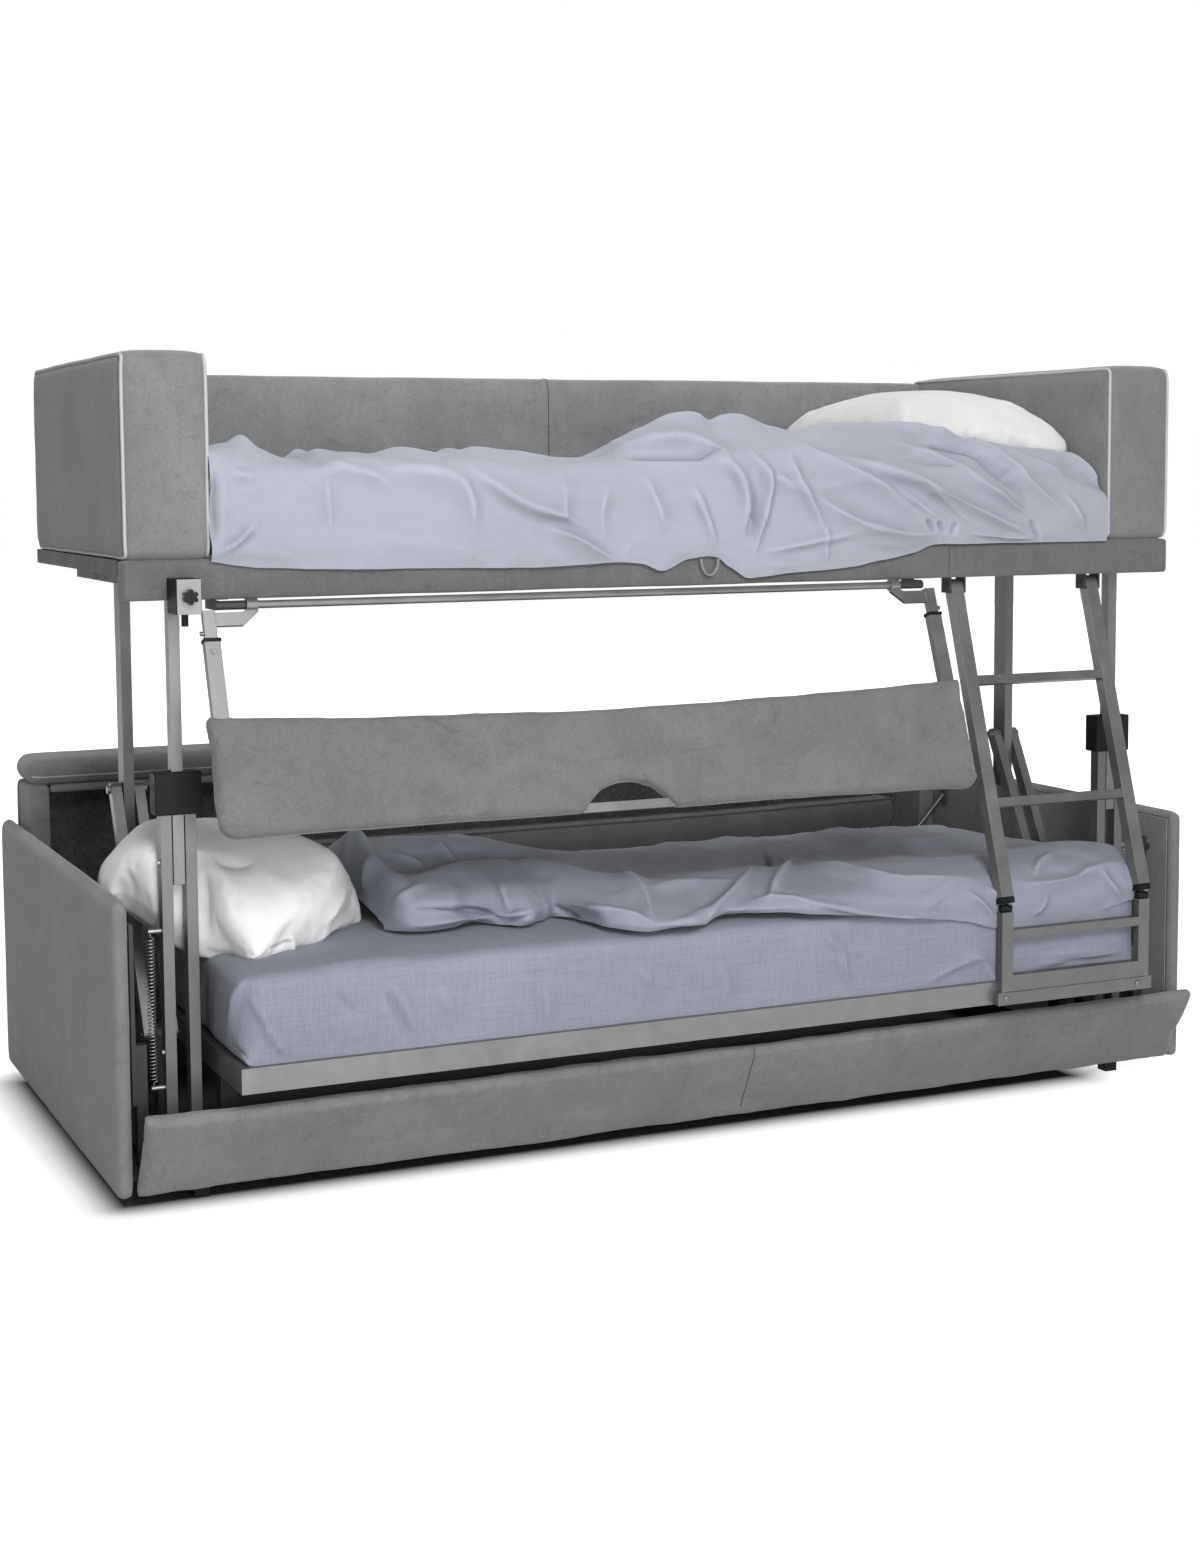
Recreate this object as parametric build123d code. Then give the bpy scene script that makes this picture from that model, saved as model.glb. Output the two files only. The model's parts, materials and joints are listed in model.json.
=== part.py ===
"""Sofa that lifts into a bunk bed: a fixed sofa shell and base, a lower bed that slides out,
an upper bunk that rises on four posts, a ladder, a swinging guard and a drop-down front flap.
Millimetres. X runs along the sofa, Y from front to back, Z up from the floor.
Places are worked out with Y = 0 at the upper bunk's front face, then moved at the end so that
the origin is on the floor under the middle of the whole piece."""
import os
from math import atan2, cos, degrees, hypot, pi, radians, sin, sqrt
from build123d import *

# Upper bunk
bed_length = 2200.0
bed_depth = 760.0
bunk_low = 1064.0
rail_height = 65.0
rail_depth = 50.0
side_rail_height = 27.0
side_rail_width = 24.0
block_width = 154.0
block_height = 355.0
block_edge = 14.0
back_guard_thick = 54.0
upper_mattress_height = 126.0
mattress_inset = 6.0
mattress_crown = 14.0
mattress_corner = 45.0
crown_step = 1.5

# Clearances
soft_gap = 0.3
slide_gap = 0.5
pin_gap = 0.05
overrun = 5.0

# Sofa shell
arm_gap = 12.0
arm_thick = 28.0
arm_edge = 9.0
arm_low = 20.0
arm_high = 549.0
arm_front = -15.0
sofa_back = 1044.0
shell_gap = 6.0
back_depth = 150.0
back_board_thick = 28.0
back_roll_height = 51.0
back_roll_top = 686.0
back_roll_edge = 20.0
back_pillar_width = 44.0
back_lining_thick = 26.0
back_lining_low = 300.0
back_lip_height = 18.0
back_lip_depth = 14.0

# Posts and their guides
post_inset = 98.0
post_width = 20.0
front_post_y = 67.0
front_post_depth = 25.0
front_post_low = 555.0
rear_post_y = 452.0
rear_post_depth = 45.0
rear_post_low = 560.0
guide_space = 2.0
tube_wall = 2.0
collar_low = 680.0
collar_height = 76.0
collar_width = 84.0
collar_depth = 40.0
collar_seat = 10.0
collar_edge = 3.0
crossbar_width = 40.0
crossbar_height = 30.0

# Base frame
foot_height = 20.0
foot_size = 28.0
beam_height = 40.0
side_beam_front = 14.0
side_beam_back = 1000.0
cross_beam_front = 16.0
cross_beam_depth = 40.0
rear_beam_y = 860.0
bracket_height = 24.0
bracket_depth = 40.0
front_bracket_y = 62.0
rear_bracket_y = 850.0
bolt_radius = 5.0
bolt_head = 4.0
upper_bolt_z = 595.0
lower_bolt_z = 255.0
runner_width = 30.0
runner_height = 30.0
runner_inset = 21.0
runner_front = 20.0
runner_back = 880.0
cushion_thick = 90.0
cushion_height = 250.0
cushion_crown = 12.0
cushion_inset = 12.0
stay_size = 20.0
stay_inset = 34.0
stay_height = 216.0
stay_bar_thick = 8.0
stay_bar_width = 24.0
stay_bar_top = 491.0
stay_boss_radius = 7.0
rear_stay_top = 385.0
rear_stay_rise = 95.0
rear_stay_rod = 5.0

# Springs
spring_radius = 6.2
spring_wire = 2.4
spring_turns = 40
spring_low = 196.0
spring_high = 470.0
spring_offset = 52.0
spring_pin_radius = 4.0
spring_lead = 9.0

# Lift arms
lift_pivot_y = 232.0
lift_pivot_z = 250.0
lift_top_z = 677.0
lift_bar_width = 26.0
lift_pin_radius = 6.0
lift_stand_width = 40.0
lift_bolt_radius = 8.0
lift_bolt_height = 6.0

# Lower bed
lower_front = -140.0
lower_low = 218.0
lower_rail_height = 45.0
lower_rail_width = 28.0
lower_side_gap = 19.0
lower_depth = 780.0
slat_count = 14
slat_width = 70.0
slat_thick = 10.0
lower_mattress_height = 167.0
flange_thick = 6.0
flange_width = 40.0
flange_height = 56.0
flange_back = 215.0

# Ladder
ladder_inset = 170.0
ladder_width = 331.0
ladder_top_y = 44.5
ladder_top_drop = 22.0
ladder_top_z = bunk_low - ladder_top_drop
ladder_foot_y = -149.0
ladder_foot_z = 421.0
stile_width = 28.0
stile_thick = 25.0
rung_height = 18.0
rung_z = (851.0, 612.0)
ladder_pin_radius = 5.0
ladder_plate = 5.0
ladder_ear = 15.0
knuckle_height = 12.0
base_top = 404.0
base_post_width = 26.0
base_post_depth = 18.0
base_flange_height = 26.0
base_flange_reach = 8.0
base_bolt_inset = 12.0
base_plate_height = 33.0
base_rung_low = 350.0

# Guard
guard_y = -22.0
guard_drop = 14.5
guard_z = bunk_low - guard_drop
guard_tilt = 20.3
guard_inset = 126.0
guard_ladder_gap = 94.0
guard_top_left = 195.0
guard_top_mid = 214.0
guard_top_right = 194.0
guard_bottom_left = 414.0
guard_bottom_right = 418.0
guard_thick = 32.0
guard_corner = 34.0
guard_edge = 8.0
guard_tube_radius = 7.0
guard_collar_radius = 11.0
guard_collar_length = 21.0
barrel_radius = 8.0
barrel_length = 46.0
barrel_pin_radius = 4.0
guard_arm_width = 22.0
guard_arm_thick = 11.0
guard_arm_inset = 1.0
guard_arm_start = 10.0
guard_arm_end = 330.0
crank_low = 14.0
crank_high = 38.0
crank_thick = 8.0
sleeve_wall = 2.5
sleeve_start = 66.0
sleeve_end = 380.0
cap_length = 6.0
cap_wall = 1.5
stub_reach = 7.0
stub_radius = 4.0
stub_place = 50.0
hole_width = 184.0
hole_offset = 7.5
hole_crest = 362.0
hole_base = 416.0
bar_width = 17.0
bar_low = 410.0
bar_reach = 6.0
bar_thick = 5.0
hinge_plate = 8.0
hinge_foot_depth = 36.0
hinge_foot_thick = 6.0

# Clamp and knob
clamp_inset = 74.0
clamp_width = 45.0
clamp_low = 1038.0
clamp_height = 60.0
clamp_reach = 60.0
clamp_plate_thick = 4.0
clamp_plate_inset = 1.5
hook_radius = 6.0
hook_length = 22.0
knob_radius = 9.5
knob_lobe = 4.0
knob_lobes = 6
knob_height = 13.0
knob_standoff = 1.0
knob_stem = 4.0

# Front flap
flap_angle = 28.0
flap_low = 32.0
flap_high = 215.0
flap_thick = 24.0
flap_edge = 8.0
flap_inset = 5.0
flap_pivot_y = 6.0
flap_pivot_z = 40.0
flap_barrel = 5.0
flap_pin = 3.0
flap_knuckle = 30.0
flap_hinge_step = 700.0

# Bedding
cloth_thick = 10.0
upper_hem_reach = 22.0
sheet_rise = 100.0
cover_rise = 135.0
cover_left_inset = 351.0
cover_right_inset = 3.0
upper_pillow_length = 600.0
upper_pillow_width = 430.0
upper_pillow_height = 180.0
pillow_seam = 30.0
pillow_draw = 22.0
lower_pillow_length = 500.0
lower_pillow_width = 530.0
lower_pillow_height = 206.0
pillow_front_reach = 110.0
pillow_clear = 8.0
bed_travel = 120.0

# Loop handle
handle_x = 14.0
handle_width = 28.0
handle_low = 1078.0
handle_high = 1110.0
handle_reach = 14.0
handle_wall = 3.0

# Worked out from the dimensions above
half_length = bed_length / 2
rail_top = bunk_low + rail_height
arm_inner = half_length + arm_gap
shell_half = arm_inner - shell_gap
back_front = sofa_back - back_depth
board_front = sofa_back - back_board_thick
roll_low = back_roll_top - back_roll_height
base_top_z = foot_height + beam_height
guide_inner = post_width / 2 + guide_space
guide_outer = guide_inner + post_width
post_x = half_length - post_inset
spring_x = post_x + spring_offset
stay_x = arm_inner - stay_inset
lower_half = post_x - guide_outer - lower_side_gap
runner_x = lower_half - runner_inset
ladder_x_right = half_length - ladder_inset
ladder_x_left = ladder_x_right - ladder_width
guard_left = guard_inset - half_length
guard_right = ladder_x_left - guard_ladder_gap
hole_mid = (guard_left + guard_right) / 2 + hole_offset
hole_left = hole_mid - hole_width / 2
hole_right = hole_mid + hole_width / 2
clamp_left = clamp_inset - half_length
lower_cover_left = cover_left_inset - lower_half
lower_cover_right = lower_half - cover_right_inset
mattress_half = half_length - block_width - mattress_inset
lower_top = lower_low + lower_rail_height
lower_back = lower_front + lower_depth
lower_mattress_top = lower_top + lower_mattress_height
upper_mattress_top = rail_top + upper_mattress_height
back_guard_front = bed_depth - back_guard_thick
ladder_tilt = degrees(atan2(ladder_top_y - ladder_foot_y, ladder_top_z - ladder_foot_z))
ladder_length = hypot(ladder_top_y - ladder_foot_y, ladder_top_z - ladder_foot_z)
lift_tilt = degrees(atan2(rear_post_y - lift_pivot_y, lift_top_z - lift_pivot_z))
lift_length = hypot(rear_post_y - lift_pivot_y, lift_top_z - lift_pivot_z)

nodes = {}


def slab(x, y, z):
    """Box between a low and a high value on each axis."""
    middle = [(low + high) / 2 for low, high in (x, y, z)]
    return Pos(*middle) * Box(*[high - low for low, high in (x, y, z)])


def around(centre, width):
    """Low and high values of a width about a centre."""
    return (centre - width / 2, centre + width / 2)


def rod(start, end, radius):
    """Round bar between two points."""
    path = Vector(*end) - Vector(*start)
    plane = Plane(origin=start, z_dir=path)
    return extrude(plane * Circle(radius), path.length)


def mirrored(shape):
    """The same piece on the other side of the sofa."""
    return mirror(shape, about=Plane.YZ)


def pair(shape):
    """A left piece and its right twin."""
    return [shape, mirrored(shape)]


def hanging(y, z, tilt):
    """Plane through a hinge line along X, whose local -Y runs down and out along a tilted piece."""
    lean = radians(tilt)
    return Plane(origin=(0, y, z), x_dir=(1, 0, 0), z_dir=(0, -cos(lean), sin(lean))).location


def soft_block(x, y, z, edge):
    """Upholstered block with every edge rounded."""
    shape = slab(x, y, z)
    return fillet(shape.edges(), edge)


def bowed(low, high, floor, crest, rise, thick):
    """Face in the XZ plane: flat below, straight ends and an arched top."""
    middle = (low + high) / 2
    outline = Polyline((low, crest), (low, floor), (high, floor), (high, crest))
    arch = ThreePointArc((high, crest), (middle, crest + rise), (low, crest))
    return extrude(Plane.XZ * make_face([*outline.edges(), arch]), thick, both=True)


def drawn_plan(x, y, corner, draw):
    """Plan face with round corners and sides drawn in between them."""
    (x0, x1), (y0, y1) = x, y
    ends = [((x0 + corner, y0), (x1 - corner, y0), (0, 1)), ((x1, y0 + corner), (x1, y1 - corner), (-1, 0)),
            ((x1 - corner, y1), (x0 + corner, y1), (0, -1)), ((x0, y1 - corner), (x0, y0 + corner), (1, 0))]
    edges = []
    for place, (start, end, inward) in enumerate(ends):
        middle = [(a + b) / 2 + draw * step for a, b, step in zip(start, end, inward)]
        edges.append(ThreePointArc(start, tuple(middle), end))
        follow = ends[(place + 1) % len(ends)][0]
        centre = (x1 - corner if place in (0, 1) else x0 + corner, y0 + corner if place in (0, 3) else y1 - corner)
        reach = hypot(end[0] + follow[0] - 2 * centre[0], end[1] + follow[1] - 2 * centre[1])
        crest = [c + corner * (a + b - 2 * c) / reach for c, a, b in zip(centre, end, follow)]
        edges.append(ThreePointArc(end, tuple(crest), follow))
    return make_face(edges)


def crowned(x, y, z, crown, corner, draw):
    """Cushion: drawn-in sides in plan and a top that swells along and across, a step higher across."""
    (z0, z1) = z
    middle_y = (y[0] + y[1]) / 2
    width = y[1] - y[0]
    plan = Pos(0, 0, z0) * extrude(drawn_plan(x, y, corner, draw), z1 - z0)
    along = Pos(0, middle_y, 0) * bowed(x[0] - overrun, x[1] + overrun, z0 - overrun, z1 - crown, crown, width)
    length = x[1] - x[0]
    across = bowed(y[0] - overrun, y[1] + overrun, z0 - overrun, z1 - crown + crown_step, crown, length)
    across = Pos((x[0] + x[1]) / 2, 0, 0) * Rot(0, 0, 90) * across
    return plan & along & across


def coil(radius, wire, turns, low, high, lead):
    """Open coil about the Z axis, ending on the axis, as half turns of two arcs each."""
    start, end = low + lead, high - lead
    rise = (end - start) / turns
    slope = rise / (2 * pi * radius)
    flat = 1 / sqrt(1 + slope * slope)

    def on_helix(half):
        turn = half * pi
        place = Vector(radius * cos(turn), radius * sin(turn), start + rise * half / 2)
        return place, Vector(-sin(turn) * flat, cos(turn) * flat, slope * flat)

    def biarc(first, first_way, last, last_way):
        chord = last - first
        both = first_way + last_way
        spread = 2 * (1 - first_way.dot(last_way))
        along = chord.dot(both)
        reach = (sqrt(along * along + spread * chord.dot(chord)) - along) / spread
        joint = (first + first_way * reach + last - last_way * reach) * (1 / 2)
        one = TangentArc(first, joint, tangent=first_way)
        two = TangentArc(last, joint, tangent=last_way * -1)
        return [one, two]

    up = Vector(0, 0, 1)
    bottom, top = Vector(0, 0, low + wire), Vector(0, 0, high - wire)
    edges = [Line((0, 0, low), bottom)]
    edges += biarc(bottom, up, *on_helix(0))
    for half in range(2 * turns):
        edges += biarc(*on_helix(half), *on_helix(half + 1))
    edges += biarc(*on_helix(2 * turns), top, up)
    edges.append(Line(top, (0, 0, high)))
    path = Wire([edge for item in edges for edge in item.edges()])
    print(f"spring: wire {wire} mm, rise a turn {rise:.2f} mm, least gap to itself {rise - wire:.2f} mm,",
          f"path {path.length:.0f} mm")
    return sweep(Plane(origin=(0, 0, low), z_dir=up) * Circle(wire / 2), path=path)


def laid_on(mattress, shape):
    """Bedding with its underside cut to the crowned mattress that it lies on."""
    return shape - Pos(0, 0, soft_gap) * mattress


def slats(left, right, front, back, top, count):
    """Wooden slats from front to back, spread evenly along the bed."""
    pitch = (right - left) / count
    return [slab(around(left + pitch * (place + 1 / 2), slat_width), (front, back), (top - slat_thick, top))
            for place in range(count)]


def folded_cover(stations):
    """Solid cloth cover through cross-sections along X, each a list of (y, z) corners."""
    faces = [make_face(Polyline(*[(x, y, z) for y, z in corners], close=True)) for x, corners in stations]
    return loft(faces, ruled=True)


# Sofa shell
arm = soft_block((-arm_inner - arm_thick, -arm_inner), (arm_front, sofa_back), (arm_low, arm_high), arm_edge)
nodes["left_arm"] = arm
nodes["right_arm"] = mirrored(arm)
shell_x = (-shell_half, shell_half)
nodes["back_board"] = slab(shell_x, (board_front, sofa_back), (arm_low, roll_low - soft_gap))
nodes["back_roll"] = soft_block(shell_x, (back_front, sofa_back), (roll_low, back_roll_top), back_roll_edge)
recess_half = shell_half - back_pillar_width
pillar = slab((-shell_half, -recess_half), (back_front, board_front), (arm_low, roll_low - soft_gap))
nodes["back_pillars"] = pair(pillar)
recess_x = (-recess_half + soft_gap, recess_half - soft_gap)
lining_y = (board_front - back_lining_thick, board_front - soft_gap)
nodes["back_lining"] = slab(recess_x, lining_y, (back_lining_low, roll_low - soft_gap))
lip_y = (back_front + soft_gap, back_front + back_lip_depth)
nodes["back_lip"] = slab(recess_x, lip_y, (roll_low - back_lip_height, roll_low - soft_gap))

# Base frame
beam_x = (-post_x - guide_outer, -post_x + guide_outer)
beam_z = (foot_height, base_top_z)
side_beam = slab(beam_x, (side_beam_front, side_beam_back), beam_z)
for bracket_y in (front_bracket_y, rear_bracket_y):
    reach_x = (-arm_inner + soft_gap, beam_x[0] + overrun)
    bracket_z = (base_top_z - bracket_height, base_top_z)
    side_beam += slab(reach_x, around(bracket_y, bracket_depth), bracket_z)
tie_z = (arm_low + soft_gap, base_top_z)
side_beam += slab(around(-post_x, post_width), (side_beam_back - overrun, board_front - soft_gap), tie_z)
nodes["side_beams"] = pair(side_beam)
span_x = (beam_x[1], -beam_x[1])
front_beam = slab(span_x, (cross_beam_front, cross_beam_front + cross_beam_depth), beam_z)
rear_beam = slab(span_x, around(rear_beam_y, cross_beam_depth), beam_z)
nodes["cross_beams"] = [front_beam, rear_beam]
foot_ys = (side_beam_front + foot_size / 2, side_beam_back - foot_size / 2)
foot_x = beam_x[1] - foot_size / 2
feet = [slab(around(foot_x, foot_size), around(y, foot_size), (0, foot_height)) for y in foot_ys]
nodes["feet"] = [foot for shape in feet for foot in pair(shape)]

# Runners that carry the lower bed, and the rail that carries the stowed cushion
runner_z = (lower_low - soft_gap - runner_height, lower_low - soft_gap)
runner_span = around(-runner_x, runner_width)
runner = slab(runner_span, (runner_front, runner_back), runner_z)
for leg_y in (cross_beam_front + cross_beam_depth / 2, rear_beam_y):
    runner += slab(runner_span, around(leg_y, runner_width), (base_top_z, runner_z[0] + overrun))
cushion_back = back_front - soft_gap - cushion_inset
cushion_y = (cushion_back - cushion_thick, cushion_back)
rail_y = around((cushion_y[0] + cushion_y[1]) / 2, runner_width)
rail_z = (runner_z[1], runner_z[1] + runner_height)
cushion_rail = slab((-runner_x - runner_width / 2, runner_x + runner_width / 2), rail_y, rail_z)
nodes["runners"] = [*pair(runner), cushion_rail]
cushion_low = rail_z[1] + soft_gap
standing = crowned((-lower_half + cushion_inset, lower_half - cushion_inset), (0, cushion_height),
                   (0, cushion_thick), cushion_crown, cushion_crown * 2, cushion_crown / 2)
nodes["stowed_cushion"] = Pos(0, cushion_y[1], cushion_low) * Rot(90, 0, 0) * standing

# Guide tubes, collars and bolts
collar_z = (collar_low, collar_low + collar_height)
tube_z = (base_top_z, collar_low + collar_seat)
tube_spans = ((-post_x - guide_outer, -post_x - guide_inner), (-post_x + guide_inner, -post_x + guide_outer))
guide_y = around(front_post_y, front_post_depth)
tubes = []
for low, high in tube_spans:
    tube = slab((low, high), guide_y, tube_z)
    bore_x = (low + tube_wall, high - tube_wall)
    bore_y = (guide_y[0] + tube_wall, guide_y[1] - tube_wall)
    tubes.append(tube - slab(bore_x, bore_y, (tube_z[0] - overrun, tube_z[1] + overrun)))
nodes["guide_tubes"] = [twin for tube in tubes for twin in pair(tube)]
collar = soft_block(around(-post_x, collar_width), around(front_post_y, collar_depth), collar_z, collar_edge)
through_x = around(-post_x, post_width + 2 * slide_gap)
through_y = around(front_post_y, front_post_depth + 2 * slide_gap)
collar -= slab(through_x, through_y, (collar_low - overrun, collar_z[1] + overrun))
for span in tube_spans:
    collar -= slab(span, guide_y, (collar_low - overrun, tube_z[1]))
nodes["collars"] = pair(collar)
tube_face = -post_x - guide_outer
frame_bolts = []
for bolt_z in (upper_bolt_z, lower_bolt_z):
    start = (tube_face, front_post_y, bolt_z)
    frame_bolts += pair(rod(start, (tube_face - bolt_head, front_post_y, bolt_z), bolt_radius))
for pin_z in (spring_low - spring_pin_radius, spring_high + spring_pin_radius):
    tip = (-spring_x - spring_pin_radius, front_post_y, pin_z)
    frame_bolts += pair(rod((tube_face, front_post_y, pin_z), tip, spring_pin_radius))
nodes["frame_bolts"] = frame_bolts

# Springs between the pins
spring = coil(spring_radius, spring_wire, spring_turns, spring_low + slide_gap, spring_high - slide_gap, spring_lead)
nodes["springs"] = pair(Pos(-spring_x, front_post_y, 0) * spring)

# Stays from the base to the arms
stay_span = around(-stay_x, stay_size)
stay = slab(stay_span, around(front_bracket_y, stay_size), (base_top_z, base_top_z + stay_height))
bar_span = (stay_span[0] - stay_bar_thick, stay_span[0])
stay += slab(bar_span, around(front_bracket_y, stay_bar_width), (base_top_z + stay_height / 2, stay_bar_top))
boss_z = stay_bar_top - stay_bar_width
boss = ((bar_span[1], front_bracket_y, boss_z), (-arm_inner + soft_gap, front_bracket_y, boss_z))
stay += rod(*boss, stay_boss_radius)
nodes["arm_stays"] = pair(stay)
upright = slab(around(-post_x, stay_size), around(rear_bracket_y, stay_size), (base_top_z, rear_stay_top))
rod_top = (-arm_inner + stay_size / 2, rear_bracket_y, rear_stay_top + rear_stay_rise)
upright += rod((-post_x, rear_bracket_y, rear_stay_top - stay_size / 2), rod_top, rear_stay_rod)
plate_z = around(rod_top[2], 2 * stay_size)
upright += slab((-arm_inner + soft_gap, rod_top[0]), around(rear_bracket_y, stay_size), plate_z)
nodes["rear_stays"] = pair(upright)

# Lift arms: two tilted bars a side on a pin through a stand
stand = slab(around(-post_x, post_width), around(lift_pivot_y, lift_stand_width), (base_top_z, lift_pivot_z))
disc = ((-post_x - post_width / 2, lift_pivot_y, lift_pivot_z), (-post_x + post_width / 2, lift_pivot_y, lift_pivot_z))
stand += rod(*disc, lift_stand_width / 2)
pin = [(-post_x + side * (guide_outer + lift_bolt_height), lift_pivot_y, lift_pivot_z) for side in (-1, 1)]
stand += rod(*pin, lift_pin_radius)
nodes["pivot_stands"] = pair(stand)


def lift_bar(span):
    """One flat bar of a lift arm, standing straight up before it is tilted."""
    low, high = span
    bar = slab(span, around(0, lift_bar_width), (0, lift_length))
    for height in (0, lift_length):
        bar += rod((low, 0, height), (high, 0, height), lift_bar_width / 2)
    return bar - rod((low - overrun, 0, 0), (high + overrun, 0, 0), lift_pin_radius + pin_gap)


lift_place = Pos(0, lift_pivot_y, lift_pivot_z) * Rot(-lift_tilt, 0, 0)
lift_solids = [lift_bar(span) for span in tube_spans]
for face, way in ((tube_spans[0][0], -1), (tube_spans[1][1], 1)):
    lift_solids.append(rod((face, 0, lift_length), (face + way * lift_bolt_height, 0, lift_length), lift_bolt_radius))
lift_solids = [lift_place * solid for solid in lift_solids]
nodes["left_lift_arm"] = lift_solids
nodes["right_lift_arm"] = [mirrored(solid) for solid in lift_solids]

# Lower bed
inner_half = lower_half - lower_rail_width
inner_front = lower_front + lower_rail_width
inner_back = lower_back - lower_rail_width
lower_z = (lower_low, lower_top)
nodes["lower_front_rail"] = slab((-lower_half, lower_half), (lower_front, inner_front), lower_z)
side = slab((-lower_half, -inner_half), (inner_front, inner_back), lower_z)
flange_span = (-lower_half - flange_thick, -lower_half)
side += slab(flange_span, (flange_back - flange_width, flange_back), (lower_low, lower_low + flange_height))
rear = slab((-lower_half, lower_half), (inner_back, lower_back), lower_z)
nodes["lower_rails"] = [*pair(side), rear]
nodes["lower_slats"] = slats(-inner_half, inner_half, inner_front, inner_back, lower_top, slat_count)
lower_mattress_y = (lower_front + mattress_inset * 2, lower_back - mattress_inset)
nodes["lower_mattress"] = crowned((-lower_half + mattress_inset, lower_half - mattress_inset), lower_mattress_y,
                                  (lower_top + soft_gap, lower_mattress_top), mattress_crown, mattress_corner,
                                  mattress_inset)

# Lower blanket: (share of its length, front edge, rise of the front fold, rise of the middle fold)
cover_low = lower_mattress_top + soft_gap
cover_length = lower_cover_right - lower_cover_left
cover_depth = lower_mattress_y[1] - lower_mattress_y[0]
cover_shares = ((0.0, 0.24, 0.30, 0.80), (0.06, 0.20, 0.95, 1.0), (0.13, 0.12, 0.80, 0.95),
                (0.22, 0.18, 0.45, 0.75), (0.33, 0.22, 0.25, 0.45), (0.42, 0.18, 0.55, 0.60),
                (0.50, 0.11, 0.80, 0.72), (0.58, 0.14, 0.45, 0.66), (0.66, 0.15, 0.60, 0.60),
                (0.74, 0.10, 0.35, 0.50), (0.84, 0.05, 0.40, 0.52), (0.93, 0.04, 0.28, 0.45),
                (1.0, 0.06, 0.20, 0.30))
stations = []
for along, front, fold, crest in cover_shares:
    front_y = lower_mattress_y[0] + cover_depth * front
    back_y = lower_mattress_y[1] - mattress_corner
    middle = (front_y + back_y) / 2
    top = cover_low + cloth_thick
    corners = [(front_y, cover_low - mattress_crown), (back_y, cover_low - mattress_crown), (back_y, top + cover_rise * crest / 2),
               (middle, top + cover_rise * crest), ((front_y + middle) / 2, top + cover_rise * fold), (front_y, top)]
    stations.append((lower_cover_left + cover_length * along, corners))
nodes["lower_blanket"] = laid_on(nodes["lower_mattress"], folded_cover(stations))

# Lower pillow, lying cornerwise with one corner pushed out between the guides and the lift arm
pillow_low = lower_mattress_top - mattress_crown
pillow_high = pillow_low + lower_pillow_height
neck_front = guide_y[1] + pillow_clear
neck_back = rear_post_y - rear_post_depth / 2 - bed_travel - pillow_clear
neck_left = beam_x[0] - pillow_clear
neck_right = -lower_half
tip_x = -arm_inner + pillow_clear
pillow_front = lower_front + pillow_front_reach
pillow_back = pillow_front + lower_pillow_width
pillow_right = tip_x + lower_pillow_length
outline_shares = ((0.19, 0.0), (0.66, 0.17), (1.0, 0.45), (0.86, 0.76), (0.40, 1.0))
pillow_outline = [(tip_x, neck_back), (tip_x, (neck_front + neck_back) / 2), (neck_left, neck_front),
                  (neck_right, neck_front)]
pillow_outline += [(neck_right + (pillow_right - neck_right) * along, pillow_front + lower_pillow_width * across)
                   for along, across in outline_shares]
pillow_outline += [(neck_right, (neck_back + pillow_back) / 2), (neck_right, neck_back)]
pillow_plan = extrude(make_face(Polyline(*pillow_outline, close=True)), pillow_high)
crest_share = 0.58
edge_z = pillow_low + lower_pillow_height * crest_share
ends = [(pillow_right, pillow_low + pillow_seam), (pillow_right, pillow_low), (-lower_half, pillow_low),
        (tip_x, edge_z - pillow_seam), (tip_x, edge_z)]
arch = ThreePointArc(ends[-1], ((neck_right + pillow_right) / 2 - pillow_seam, pillow_high), ends[0])
side_face = Plane.XZ * make_face([*Polyline(*ends).edges(), arch])
along = Pos(0, pillow_back, 0) * extrude(side_face, lower_pillow_width * 2, both=True)
sides = [(pillow_back, edge_z), (pillow_back, pillow_low), (pillow_front, pillow_low),
         (pillow_front, pillow_low + pillow_seam)]
arch = ThreePointArc(sides[-1], (pillow_front + lower_pillow_width * crest_share, pillow_high), sides[0])
side_face = Plane.YZ * make_face([*Polyline(*sides).edges(), arch])
across = Pos(tip_x, 0, 0) * extrude(side_face, lower_pillow_length * 2, both=True)
nodes["lower_pillow"] = laid_on(nodes["lower_mattress"], pillow_plan & along & across)

# Ladder base on the lower front rail
base_y = (lower_front - base_post_depth, lower_front)
ladder_xs = (ladder_x_left, ladder_x_right)
flange_top = lower_low + base_flange_height
nodes["ladder_base_posts"] = [slab(around(x, base_post_width), base_y, (flange_top, base_top)) for x in ladder_xs]
gap_x = (ladder_x_left + base_post_width / 2, ladder_x_right - base_post_width / 2)
base_solids = [slab(gap_x, base_y, (low, low + height))
               for low, height in ((flange_top, base_plate_height), (base_rung_low, rung_height))]
flange_x = (ladder_xs[0] - base_post_width / 2 - base_flange_reach, ladder_xs[1] + base_post_width / 2 + base_flange_reach)
base_solids.append(slab(flange_x, base_y, (lower_low, flange_top)))
for x in (ladder_xs[0], ladder_xs[1] - base_bolt_inset):
    centre_z = lower_low + base_flange_height / 2
    base_solids.append(rod((x, base_y[0], centre_z), (x, base_y[0] - bolt_head, centre_z), bolt_radius))
nodes["ladder_base_plate"] = base_solids

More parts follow.
